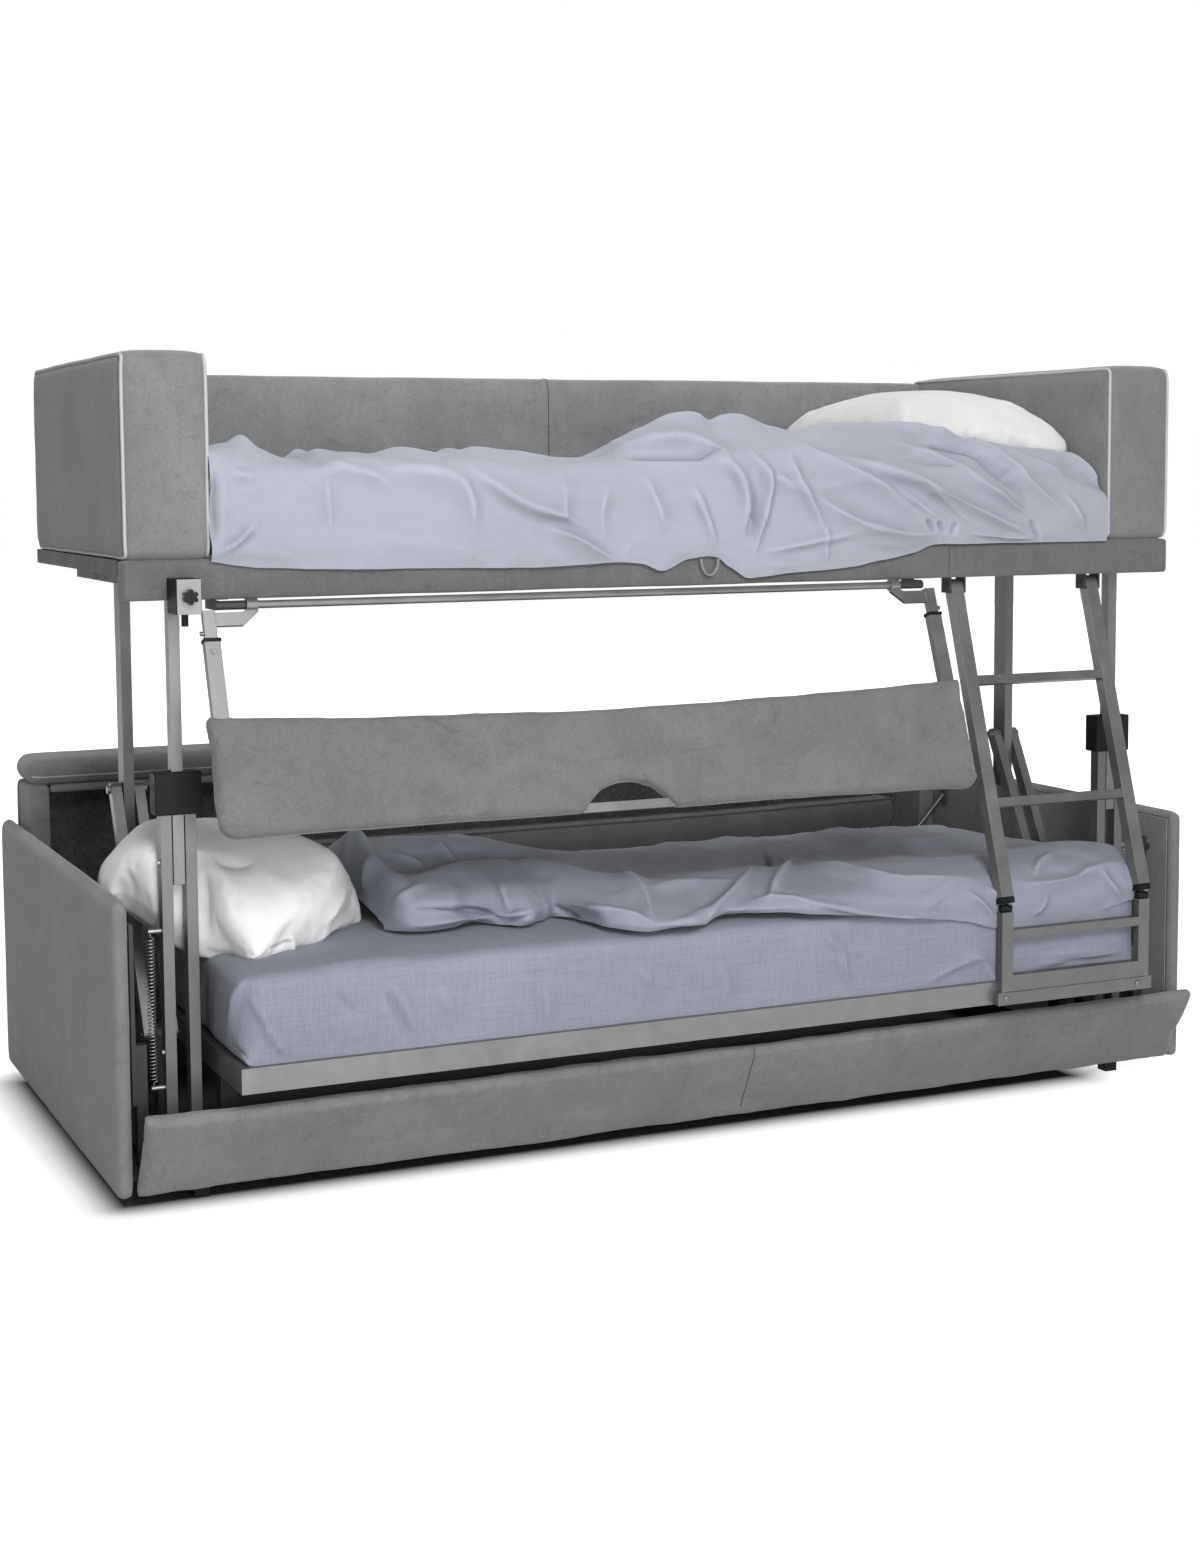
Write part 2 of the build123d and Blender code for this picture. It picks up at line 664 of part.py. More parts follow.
# Upper bunk frame
bunk_x = (-half_length, half_length)
rail = slab(bunk_x, (0, rail_depth), (bunk_low, rail_top))
nodes["upper_front_rail"] = fillet(rail.edges(), collar_edge)
side_z = (rail_top - side_rail_height, rail_top)
side = slab((-half_length, -half_length + side_rail_width), (rail_depth, bed_depth), side_z)
rear = slab((-half_length + side_rail_width, half_length - side_rail_width),
            (bed_depth - side_rail_width, bed_depth), side_z)
nodes["upper_rails"] = [*pair(side), rear]
slat_half = half_length - side_rail_width
nodes["upper_slats"] = slats(-slat_half, slat_half, rail_depth, bed_depth - side_rail_width, rail_top, slat_count)
crossbar_z = (side_z[0] - crossbar_height, side_z[0])
crossbar = slab(around(-post_x, crossbar_width), (rail_depth, bed_depth), crossbar_z)
nodes["upper_crossbars"] = pair(crossbar)
post_span = around(-post_x, post_width)
post = slab(post_span, around(front_post_y, front_post_depth), (front_post_low, crossbar_z[0]))
nodes["front_posts"] = pair(post)
post = slab(post_span, around(rear_post_y, rear_post_depth), (rear_post_low, crossbar_z[0]))
nodes["rear_posts"] = pair(post)

# Upper bunk upholstery and bedding
block_z = (rail_top + soft_gap, rail_top + block_height)
block = soft_block((-half_length, -half_length + block_width), (0, bed_depth), block_z, block_edge)
nodes["left_end_block"] = block
nodes["right_end_block"] = mirrored(block)
guard_span = half_length - block_width - soft_gap
nodes["back_guard"] = soft_block((-guard_span, guard_span), (back_guard_front, bed_depth), block_z, block_edge)
upper_mattress_y = (mattress_inset, back_guard_front - mattress_inset)
nodes["upper_mattress"] = crowned((-mattress_half, mattress_half), upper_mattress_y,
                                  (rail_top + soft_gap, upper_mattress_top), mattress_crown, mattress_corner,
                                  mattress_inset)

# Upper sheet: (share of its length, hem, rise of the front edge, rise of the middle fold, depth)
sheet_shares = ((0.0, 0.89, 0.32, 0.30, 0.92), (0.04, 0.77, 0.45, 0.42, 0.94), (0.10, 0.70, 0.38, 0.48, 0.95),
                (0.18, 0.62, 0.40, 0.40, 0.93), (0.32, 0.55, 0.45, 0.50, 0.90), (0.43, 0.71, 0.55, 0.55, 0.88),
                (0.46, 0.40, 0.78, 0.80, 0.86), (0.48, 0.80, 0.82, 0.90, 0.85), (0.525, 0.80, 0.85, 0.98, 0.84),
                (0.54, 0.12, 0.85, 1.0, 0.82), (0.57, 0.10, 0.80, 1.0, 0.80), (0.66, 0.45, 0.70, 0.80, 0.70),
                (0.74, 0.80, 0.62, 0.66, 0.58), (0.765, 0.85, 0.60, 0.60, 0.10), (0.85, 0.90, 0.50, 0.50, 0.09),
                (0.93, 0.92, 0.40, 0.34, 0.09), (1.0, 0.95, 0.26, 0.20, 0.09))
sheet_low = upper_mattress_top + soft_gap
sheet_top = sheet_low + cloth_thick
stations = []
for along, hem, edge, crest, depth in sheet_shares:
    hem_z = rail_top - rail_height * (1 - hem)
    back_y = upper_mattress_y[0] + (upper_mattress_y[1] - upper_mattress_y[0]) * depth
    under = sheet_low - mattress_crown
    corners = [(-soft_gap, hem_z), (-soft_gap, under), (back_y, under),
               (back_y, sheet_top + sheet_rise * crest / 2), (back_y / 2, sheet_top + sheet_rise * crest),
               (-upper_hem_reach / 2, sheet_top + sheet_rise * edge / 2), (-upper_hem_reach, sheet_low - cloth_thick),
               (-upper_hem_reach / 2, hem_z)]
    stations.append((-mattress_half + 2 * mattress_half * along, corners))
nodes["upper_blanket"] = laid_on(nodes["upper_mattress"], folded_cover(stations))
pillow_y = (upper_mattress_y[1] - upper_pillow_length, upper_mattress_y[1] - soft_gap)
pillow_x = (mattress_half - upper_pillow_width, mattress_half)
pillow_z = (sheet_low - mattress_crown, sheet_low + upper_pillow_height)
pillow = crowned(pillow_x, pillow_y, pillow_z, upper_pillow_height / 2, pillow_seam * 2, pillow_draw)
nodes["upper_pillow"] = laid_on(nodes["upper_mattress"], pillow)

# Loop handle on the front rail
handle_y = (-handle_reach, -soft_gap)
handle = slab(around(handle_x, handle_width), handle_y, (handle_low, handle_high))
hollow_y = (-handle_reach + handle_wall, -soft_gap - handle_wall)
hollow = slab(around(handle_x, handle_width + overrun), hollow_y, (handle_low + handle_wall, handle_high - handle_wall))
nodes["loop_handle"] = handle - hollow

# Clamp with its star knob
clamp_x = (clamp_left, clamp_left + clamp_width)
clamp_z = (clamp_low, clamp_low + clamp_height)
knob_x = clamp_left + clamp_width / 2
knob_z = clamp_low + clamp_height / 2
stem_hole = rod((knob_x, -clamp_reach - overrun - clamp_plate_thick, knob_z), (knob_x, -clamp_reach / 2, knob_z),
                knob_stem + pin_gap)
clamp = slab(clamp_x, (-clamp_reach, 0), clamp_z) - stem_hole
hook_y = -clamp_reach / 2
clamp += rod((knob_x, hook_y, clamp_low), (knob_x, hook_y, clamp_low - hook_length), hook_radius)
nodes["clamp_block"] = clamp
plate_x = (clamp_x[0] + clamp_plate_inset, clamp_x[1] - clamp_plate_inset)
nodes["clamp_plate"] = slab(plate_x, (-clamp_reach - clamp_plate_thick, -clamp_reach), clamp_z) - stem_hole
knob_plane = Plane(origin=(knob_x, -clamp_reach - clamp_plate_thick - knob_standoff, knob_z), z_dir=(0, -1, 0))
knob_face = Circle(knob_radius)
knob_face += [loc * Circle(knob_lobe) for loc in PolarLocations(knob_radius, knob_lobes)]
knob = extrude(knob_plane * knob_face, knob_height)
stem_end = (knob_x, -clamp_reach / 2 - knob_standoff, knob_z)
knob += rod((knob_x, knob_plane.origin.Y, knob_z), stem_end, knob_stem)
nodes["star_knob"] = knob

# Guard: tube, cranked arms, telescopic sleeves and the padded panel
guard_place = hanging(guard_y, guard_z, guard_tilt)
arm_left_x = guard_left + guard_arm_inset + guard_arm_width / 2
arm_right_x = guard_right - guard_arm_inset - guard_arm_width / 2
plate_gap = 2.0
plate_left = arm_left_x + guard_arm_width / 2 + plate_gap
barrel_left = plate_left + hinge_plate
collar_left = barrel_left + barrel_length
plate_right = arm_right_x - guard_arm_width / 2 - plate_gap
barrel_right = plate_right - hinge_plate
collar_right = barrel_right - barrel_length
axis_point = (guard_y, guard_z)
tube = rod((collar_left, *axis_point), (collar_right, *axis_point), guard_tube_radius)
for start, way in ((collar_left, 1), (collar_right, -1)):
    tube += rod((start + way * slide_gap, *axis_point), (start + way * guard_collar_length, *axis_point),
                guard_collar_radius)
for start, way in ((collar_left, 1), (collar_right, -1)):
    mouth = (start - way * overrun, *axis_point)
    tube -= rod(mouth, (start + way * guard_collar_length, *axis_point), barrel_pin_radius + pin_gap)
    tube -= slab(around(start, slide_gap * 2), around(guard_y, 2 * guard_collar_radius),
                 around(guard_z, 2 * guard_collar_radius))
nodes["guard_tube"] = tube


def guard_hinge(plate_x, barrel_x, collar_x):
    """Fixed barrel with its pin, and the plate that carries it under the front rail."""
    way = 1 if collar_x > plate_x else -1
    low, high = sorted((plate_x, barrel_x))
    hinge = rod((plate_x, *axis_point), (collar_x - way * slide_gap, *axis_point), barrel_radius)
    hinge += rod((barrel_x, *axis_point), (collar_x + way * guard_collar_length / 2, *axis_point), barrel_pin_radius)
    foot_y = (overrun, overrun + hinge_foot_depth)
    hinge += slab((low, high), (guard_y, foot_y[1]), (guard_z - barrel_radius, bunk_low - hinge_foot_thick))
    foot_x = sorted((plate_x, barrel_x + way * barrel_length / 2))
    hinge += slab(foot_x, foot_y, (bunk_low - hinge_foot_thick, bunk_low))
    return hinge + slab((low, high), foot_y, (guard_z, bunk_low))


nodes["guard_hinges"] = [guard_hinge(plate_left, barrel_left, collar_left),
                         guard_hinge(plate_right, barrel_right, collar_right)]


def guard_arm(centre, way, collar_x):
    """Flat arm with a crank that passes under the barrel to the tube's collar."""
    shape = slab(around(centre, guard_arm_width), (-guard_arm_end, -guard_arm_start), around(0, guard_arm_thick))
    inner = centre + way * guard_arm_width / 2
    hub = (collar_x + way * slide_gap, collar_x + way * guard_collar_length)
    corners = [(inner, -crank_low), (hub[0] - way * crank_thick, -crank_low), (hub[0], -guard_collar_radius + cap_wall),
               (hub[1], -guard_collar_radius + cap_wall), (hub[1], -crank_low),
               (hub[0] - way * crank_thick, -crank_high), (inner, -crank_high)]
    shape += extrude(make_face(Polyline(*corners, close=True)), crank_thick / 2, both=True)
    stub_start = centre - way * guard_arm_width / 2
    shape += rod((stub_start, -stub_place, 0), (stub_start - way * stub_reach, -stub_place, 0), stub_radius)
    collar_round = rod((hub[0] - way * overrun, 0, 0), (hub[1] + way * overrun, 0, 0), guard_collar_radius)
    return guard_place * (shape - collar_round)


nodes["guard_arms"] = [guard_arm(arm_left_x, 1, collar_left), guard_arm(arm_right_x, -1, collar_right)]
sleeve_bore = (guard_arm_width + 2 * slide_gap, guard_arm_thick + 2 * slide_gap)
sleeve_outer = [size + 2 * sleeve_wall for size in sleeve_bore]


def sleeve(centre):
    """Rectangular tube round an arm, with a locking screw on its front face."""
    outer = slab(around(centre, sleeve_outer[0]), (-sleeve_end, -sleeve_start), around(0, sleeve_outer[1]))
    bore = slab(around(centre, sleeve_bore[0]), (-sleeve_end - overrun, -sleeve_start + overrun),
                around(0, sleeve_bore[1]))
    screw = Pos(centre, -sleeve_start - cap_length * 3, sleeve_outer[1] / 2)
    return guard_place * (outer - bore), guard_place * screw * extrude(Circle(bolt_radius), bolt_head / 2)


def sleeve_cap(centre):
    """Black plastic collar on a sleeve's mouth."""
    wide, deep = [size + 2 * cap_wall for size in sleeve_outer]
    outer = slab(around(centre, wide), (-sleeve_start, -sleeve_start + cap_length), around(0, deep))
    bore = slab(around(centre, sleeve_bore[0]), (-sleeve_start - overrun, -sleeve_start + cap_length + overrun),
                around(0, sleeve_bore[1]))
    return guard_place * (outer - bore)


nodes["guard_sleeves"] = [solid for centre in (arm_left_x, arm_right_x) for solid in sleeve(centre)]
nodes["guard_caps"] = [sleeve_cap(centre) for centre in (arm_left_x, arm_right_x)]
panel_x = (guard_left - sleeve_wall * 4, guard_right + sleeve_wall * 4)
top_mid = (panel_x[0] + panel_x[1]) / 2
corner_left = (panel_x[0], -guard_bottom_left)
corner_right = (panel_x[1], -guard_bottom_right)
panel_edges = [ThreePointArc((panel_x[1], -guard_top_right), (top_mid, -guard_top_mid), (panel_x[0], -guard_top_left)),
               Line((panel_x[0], -guard_top_left), corner_left), Line(corner_left, corner_right),
               Line(corner_right, (panel_x[1], -guard_top_right))]
panel = extrude(make_face(panel_edges), guard_thick / 2, both=True)
low_corners = panel.edges().filter_by(Axis.Z).sort_by(Axis.Y)[:2]
panel = fillet(low_corners, guard_corner)
top_corners = panel.edges().filter_by(Axis.Z).sort_by(Axis.Y)[-2:]
panel = fillet(top_corners, guard_edge)
panel = fillet(panel.faces().sort_by(Axis.Z)[-1].edges() + panel.faces().sort_by(Axis.Z)[0].edges(), guard_edge)
hole_low = -hole_base - guard_thick
hole_face = make_face([ThreePointArc((hole_left, -hole_base), (hole_mid, -hole_crest), (hole_right, -hole_base)),
                       Line((hole_right, -hole_base), (hole_right, hole_low)),
                       Line((hole_right, hole_low), (hole_left, hole_low)),
                       Line((hole_left, hole_low), (hole_left, -hole_base))])
panel -= extrude(hole_face, guard_thick, both=True)
bar_x = (hole_left - bar_reach, hole_right + bar_reach)
panel -= slab((bar_x[0] - soft_gap, bar_x[1] + soft_gap),
              (-bar_low - soft_gap, -bar_low + bar_width + soft_gap), around(0, bar_thick + 2 * soft_gap))
for centre in (arm_left_x, arm_right_x):
    pocket = [size + 2 * soft_gap for size in sleeve_outer]
    panel -= slab(around(centre, pocket[0]), (-sleeve_end - overrun, -guard_top_left + guard_thick),
                  around(0, pocket[1]))
nodes["guard_panel"] = guard_place * panel
nodes["hand_hole_bar"] = guard_place * slab(bar_x, (-bar_low, -bar_low + bar_width), around(0, bar_thick))

# Ladder
ladder_place = hanging(ladder_top_y, ladder_top_z, ladder_tilt)


def stile(centre):
    """Ladder side with a round top and a bore for the hinge pin."""
    span = around(centre, stile_width)
    shape = slab(span, (-ladder_length + knuckle_height, 0), around(0, stile_thick))
    shape += rod((span[0], 0, 0), (span[1], 0, 0), stile_thick / 2)
    bore = rod((span[0] - overrun, 0, 0), (span[1] + overrun, 0, 0), ladder_pin_radius + pin_gap)
    return ladder_place * (shape - bore)


nodes["ladder_stiles"] = [stile(x) for x in ladder_xs]
rung_x = (ladder_x_left + stile_width / 2, ladder_x_right - stile_width / 2)
down = cos(radians(ladder_tilt))
nodes["ladder_rungs"] = [ladder_place * slab(rung_x, around((z - ladder_top_z) / down, rung_height),
                                             around(0, stile_thick - 2 * tube_wall)) for z in rung_z]
knuckle_y = (-ladder_length, -ladder_length + knuckle_height)
nodes["ladder_knuckles"] = [ladder_place * slab(around(x, stile_width), knuckle_y, around(0, stile_thick))
                            for x in ladder_xs]


def ladder_hinge(centre):
    """Two ears under the front rail with a pin through them."""
    ear_y = around(ladder_top_y, 2 * ladder_ear)
    ears = []
    for way in (-1, 1):
        face = centre + way * (stile_width / 2 + slide_gap)
        ears.append(slab(sorted((face, face + way * ladder_plate)), ear_y, (ladder_top_z - ladder_ear, bunk_low)))
    reach = stile_width / 2 + slide_gap + ladder_plate + tube_wall
    ends = [(centre + way * reach, ladder_top_y, ladder_top_z) for way in (-1, 1)]
    return ears[0] + ears[1] + rod(*ends, ladder_pin_radius)


nodes["ladder_hinges"] = [ladder_hinge(x) for x in ladder_xs]

# Front flap, built closed and then opened about its hinge line
flap_place = Pos(0, flap_pivot_y, flap_pivot_z) * Rot(flap_angle, 0, 0)
flap_y = (-flap_thick - flap_pivot_y, -flap_pivot_y)
flap_z = (flap_low - flap_pivot_z, flap_high - flap_pivot_z)
flap_half = arm_inner - flap_inset
nodes["front_flap"] = flap_place * soft_block((-flap_half, flap_half), flap_y, flap_z, flap_edge)
hinge_xs = (-flap_hinge_step, 0, flap_hinge_step)
knuckles = []
fixed = []
for x in hinge_xs:
    for way in (-1, 1):
        centre = x + way * (flap_knuckle + slide_gap)
        span = around(centre, flap_knuckle)
        ear = rod((span[0], 0, 0), (span[1], 0, 0), flap_barrel) + slab(span, (-flap_pivot_y, 0), around(0, flap_barrel))
        bore = rod((span[0] - overrun, 0, 0), (span[1] + overrun, 0, 0), flap_pin + pin_gap)
        knuckles.append(flap_place * (ear - bore))
    span = around(x, flap_knuckle)
    lug = rod((span[0], flap_pivot_y, flap_pivot_z), (span[1], flap_pivot_y, flap_pivot_z), flap_barrel)
    lug += slab(span, (flap_pivot_y, cross_beam_front), around(flap_pivot_z, flap_barrel))
    reach = flap_knuckle * 3 / 2
    lug += rod((x - reach, flap_pivot_y, flap_pivot_z), (x + reach, flap_pivot_y, flap_pivot_z), flap_pin)
    fixed.append(lug)
nodes["flap_knuckles"] = knuckles
nodes["flap_hinges"] = fixed

# Move the origin under the middle of the whole piece, and write one file a node
solids = {name: shape if isinstance(shape, list) else [shape] for name, shape in nodes.items()}
whole = Compound(children=[solid for group in solids.values() for item in group for solid in item.solids()])
box = whole.bounding_box()
middle_y = (box.min.Y + box.max.Y) / 2
os.makedirs("parts", exist_ok=True)
for name, group in solids.items():
    moved = [Pos(0, -middle_y, 0) * solid for item in group for solid in item.solids()]
    export_step(moved[0] if len(moved) == 1 else Compound(children=moved), f"parts/{name}.step")
print("nodes", len(solids), "size", box.size, "moved in Y by", -middle_y)
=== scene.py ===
"""Looks of the sofa that lifts into a bunk bed: upholstery, bedding and metal over the CAD frame.
Photograph lines are given in its pixels, and places on the bed in millimetres with Y = 0 at the
upper bunk's front face; SHIFT moves them into the frame."""
import json
import math

import bmesh
import bpy
import numpy as np
from mathutils import Matrix, Vector, noise
from mathutils.bvhtree import BVHTree


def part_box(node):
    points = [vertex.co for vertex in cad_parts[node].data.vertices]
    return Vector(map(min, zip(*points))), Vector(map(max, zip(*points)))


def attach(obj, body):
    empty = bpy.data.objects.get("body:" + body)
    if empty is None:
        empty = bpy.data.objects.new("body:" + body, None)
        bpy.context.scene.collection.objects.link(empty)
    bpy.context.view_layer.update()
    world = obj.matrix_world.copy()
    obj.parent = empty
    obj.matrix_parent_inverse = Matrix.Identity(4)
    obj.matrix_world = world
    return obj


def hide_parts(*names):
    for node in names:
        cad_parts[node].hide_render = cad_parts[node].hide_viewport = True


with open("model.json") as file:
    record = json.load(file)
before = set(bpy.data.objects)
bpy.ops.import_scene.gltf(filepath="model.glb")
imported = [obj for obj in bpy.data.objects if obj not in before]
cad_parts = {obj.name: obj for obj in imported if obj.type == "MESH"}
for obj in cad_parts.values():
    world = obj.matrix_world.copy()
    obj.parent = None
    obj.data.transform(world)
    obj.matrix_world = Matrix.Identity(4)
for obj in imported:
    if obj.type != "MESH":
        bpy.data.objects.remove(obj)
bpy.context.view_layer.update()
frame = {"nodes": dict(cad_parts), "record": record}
NODES = frame["nodes"]
SCENE = bpy.context.scene
SHIFT = -432.14239
MM = 0.001
FAR = 1e9


def linked(name, data):
    """A new object in the scene."""
    obj = bpy.data.objects.new(name, data)
    SCENE.collection.objects.link(obj)
    return obj


def listed(name, points, faces):
    """A new mesh object from its points and faces."""
    mesh = bpy.data.meshes.new(name)
    mesh.from_pydata(points, [], faces)
    mesh.update()
    return linked(name, mesh)


# Camera of the photograph
EYE = np.array([-1977.314, -3875.479 + SHIFT, 1270.12]) * MM
YAW, PITCH, ROLL = 0.42772, 0.0906, -0.00663
FOCAL, AXIS_X, AXIS_Y = 2286.62, 600.0, 682.21
IMAGE_H = 1553.0
SENSOR = 36.0
forward = np.array([math.sin(YAW) * math.cos(PITCH), math.cos(YAW) * math.cos(PITCH), -math.sin(PITCH)])
level = np.array([math.cos(YAW), -math.sin(YAW), 0.0])
upright = np.cross(level, forward)
right_way = level * math.cos(ROLL) + upright * math.sin(ROLL)
up_way = upright * math.cos(ROLL) - level * math.sin(ROLL)


def camera():
    """The photograph's viewpoint, lens and framing."""
    data = bpy.data.cameras.new("camera")
    data.sensor_fit = "AUTO"
    data.sensor_width = SENSOR
    data.lens = FOCAL / IMAGE_H * SENSOR
    data.shift_y = (AXIS_Y - IMAGE_H / 2) / IMAGE_H
    data.clip_end = 60.0
    obj = linked("camera", data)
    turn = Matrix((right_way, up_way, -forward)).transposed()
    obj.matrix_world = Matrix.Translation(Vector(EYE)) @ turn.to_4x4()
    SCENE.camera = obj


def to_photo(points):
    """Photograph pixels of points in metres."""
    away = points - EYE
    depth = away @ forward
    return AXIS_X + FOCAL * (away @ right_way) / depth, AXIS_Y - FOCAL * (away @ up_way) / depth


def place(x, y, z):
    """Point of the bed in millimetres, in the frame in metres."""
    return Vector((x * MM, (y + SHIFT) * MM, z * MM))


def depths(points):
    """How far points lie behind the upper bunk's front face, in millimetres."""
    return points[:, 1] / MM - SHIFT


# Materials
def new_material(name):
    """A material with its shader and the object's own coordinates."""
    mat = bpy.data.materials.new(name)
    mat.use_nodes = True
    tree = mat.node_tree
    shader = tree.nodes["Principled BSDF"]
    return mat, tree, shader, wired(tree, "TexCoord", "Object")


def wired(tree, kind, output, **inputs):
    """One output of a new shader node, with its inputs set to numbers or linked to other outputs."""
    node = tree.nodes.new("ShaderNode" + kind)
    for name, value in inputs.items():
        socket = node.inputs[name.replace("_", " ")]
        if isinstance(value, bpy.types.NodeSocket):
            tree.links.new(value, socket)
        else:
            socket.default_value = value
    return node.outputs[output]


def spread(tree, coords, scale):
    """Coordinates stretched by a scale on each axis."""
    return wired(tree, "Mapping", "Vector", Scale=scale, Vector=coords)


def clouds(tree, vector, scale, detail=3.0, rough=0.55, twist=0.0):
    """Noise over the surface, from 0 to 1."""
    return wired(tree, "TexNoise", "Fac", Vector=vector, Scale=scale, Detail=detail, Roughness=rough,
                 Distortion=twist)


def band(tree, value, low, high, to_low, to_high):
    """A value's range turned into another range, with its ends held."""
    return wired(tree, "MapRange", "Result", Value=value, From_Min=low, From_Max=high, To_Min=to_low,
                 To_Max=to_high)


def times(tree, first, second, operation="MULTIPLY"):
    """Product of two values, each a number or a socket, or the result of another operation."""
    node = tree.nodes.new("ShaderNodeMath")
    node.operation = operation
    for socket, value in zip(node.inputs, (first, second)):
        if isinstance(value, (int, float)):
            socket.default_value = value
        else:
            tree.links.new(value, socket)
    return node.outputs[0]


def length_of(tree, vector):
    """How long a vector is."""
    node = tree.nodes.new("ShaderNodeVectorMath")
    node.operation = "LENGTH"
    tree.links.new(vector, node.inputs[0])
    return node.outputs["Value"]


def tinted(tree, shader, colour, factor):
    """Base colour times a factor that varies over the surface."""
    node = tree.nodes.new("ShaderNodeVectorMath")
    node.operation = "SCALE"
    node.inputs[0].default_value = colour
    tree.links.new(factor, node.inputs["Scale"])
    tree.links.new(node.outputs["Vector"], shader.inputs["Base Color"])


def bumped(tree, shader, height, strength, distance, under=None):
    """Fine relief from a height, over another normal where one is given."""
    below = {} if under is None else {"Normal": under}
    normal = wired(tree, "Bump", "Normal", Strength=strength, Distance=distance, Height=height, **below)
    tree.links.new(normal, shader.inputs["Normal"])
    return normal


def broken_edges(tree, radius):
    """Normals that catch the light along the edges."""
    edges = tree.nodes.new("ShaderNodeBevel")
    edges.samples = 4
    edges.inputs["Radius"].default_value = radius
    return edges.outputs["Normal"]


def set_all(shader, **values):
    """Sets inputs of the shader by name."""
    for name, value in values.items():
        shader.inputs[name.replace("_", " ")].default_value = value


def suede(name, colour, contrast=0.2, sheen=0.35):
    """Microsuede: brushed nap in soft patches, short streaks where a hand has passed, fine fibre."""
    mat, tree, shader, coords = new_material(name)
    patches = clouds(tree, coords, 4.5, 4.0, 0.6, 1.2)
    streaks = clouds(tree, spread(tree, coords, (14.0, 14.0, 5.0)), 1.6, 5.0, 0.62, 2.4)
    fibre = clouds(tree, coords, 420.0, 2.0, 0.7)
    rubbed = clouds(tree, spread(tree, coords, (6.5, 6.5, 12.0)), 0.9, 5.0, 0.68, 3.2)
    grain = clouds(tree, coords, 190.0, 3.0, 0.75)
    tone = times(tree, band(tree, patches, 0.3, 0.7, 1 - contrast * 0.55, 1 + contrast * 0.55),
                 band(tree, streaks, 0.25, 0.75, 1 - contrast * 0.4, 1 + contrast * 0.4))
    tone = times(tree, tone, band(tree, rubbed, 0.57, 0.72, 1.0, 1 - contrast * 0.9))
    tone = times(tree, tone, band(tree, grain, 0.2, 0.8, 0.84, 1.16))
    tone = times(tree, tone, band(tree, fibre, 0.2, 0.8, 0.88, 1.12))
    tinted(tree, shader, colour, tone)
    set_all(shader, Roughness=0.92, Sheen_Weight=sheen, Sheen_Roughness=0.45, Specular_IOR_Level=0.15)
    under = bumped(tree, shader, fibre, 0.35, 0.0006)
    bumped(tree, shader, streaks, 0.12, 0.004, under)
    return mat


def painted_crest_light(tree, low, high):
    """Painted light on crests and painted shade in hollows, from the shape of the mesh itself."""
    return band(tree, wired(tree, "NewGeometry", "Pointiness"), 0.46, 0.54, low, high)


def cotton(name, colour, slub, weave=0.3, sheen=0.12, painted_crest_amount=0.0):
    """Woven cloth: threads both ways with uneven slubs, a soft change of tone, and painted light on crests
    and painted shade in hollows.
    """
    mat, tree, shader, coords = new_material(name)
    warp = clouds(tree, spread(tree, coords, (14.0, 420.0, 420.0)), 1.0, 3.0, 0.6)
    weft = clouds(tree, spread(tree, coords, (420.0, 22.0, 22.0)), 1.0, 3.0, 0.6)
    fine = clouds(tree, coords, 900.0, 1.0, 0.5)
    soft = clouds(tree, coords, 3.0, 3.0, 0.5, 0.6)
    threads = times(tree, warp, weft, "ADD")
    tone = times(tree, band(tree, threads, 0.75, 1.25, 1 - slub, 1 + slub),
                 band(tree, soft, 0.3, 0.7, 0.95, 1.05))
    # Painted light on crests and painted shade in hollows, from the mesh's pointiness
    tone = times(tree, tone, painted_crest_light(tree, 1 - painted_crest_amount, 1 + painted_crest_amount))
    tinted(tree, shader, colour, tone)
    set_all(shader, Roughness=0.85, Sheen_Weight=sheen, Sheen_Roughness=0.4, Specular_IOR_Level=0.25)
    under = bumped(tree, shader, threads, weave, 0.0008)
    bumped(tree, shader, fine, weave * 0.5, 0.0003, under)
    return mat


def fleece(name, colour):
    """Curly fleece lining."""
    mat, tree, shader, coords = new_material(name)
    curls = clouds(tree, coords, 75.0, 4.0, 0.7, 1.8)
    patches = clouds(tree, coords, 9.0, 3.0)
    tone = times(tree, band(tree, curls, 0.3, 0.7, 0.45, 1.7), band(tree, patches, 0.3, 0.7, 0.75, 1.25))
    tinted(tree, shader, colour, tone)
    set_all(shader, Roughness=0.95, Sheen_Weight=0.4, Sheen_Roughness=0.5, Specular_IOR_Level=0.1)
    bumped(tree, shader, curls, 0.8, 0.006)
    return mat


def metal(name, colour, rough, metallic, edge=0.0012):
    """Satin metal with drawn grain, faint smudges and softly broken edges."""
    mat, tree, shader, coords = new_material(name)
    grain = clouds(tree, spread(tree, coords, (160.0, 160.0, 12.0)), 3.0, 3.0, 0.6)
    smudge = clouds(tree, coords, 11.0, 4.0, 0.6, 0.8)
    tinted(tree, shader, colour, times(tree, band(tree, smudge, 0.3, 0.7, 0.88, 1.12),
                                       band(tree, grain, 0.2, 0.8, 0.95, 1.05)))
    tree.links.new(band(tree, smudge, 0.25, 0.75, rough * 0.8, rough * 1.25), shader.inputs["Roughness"])
    set_all(shader, Metallic=metallic)
    bumped(tree, shader, grain, 0.06, 0.0004, broken_edges(tree, edge))
    return mat


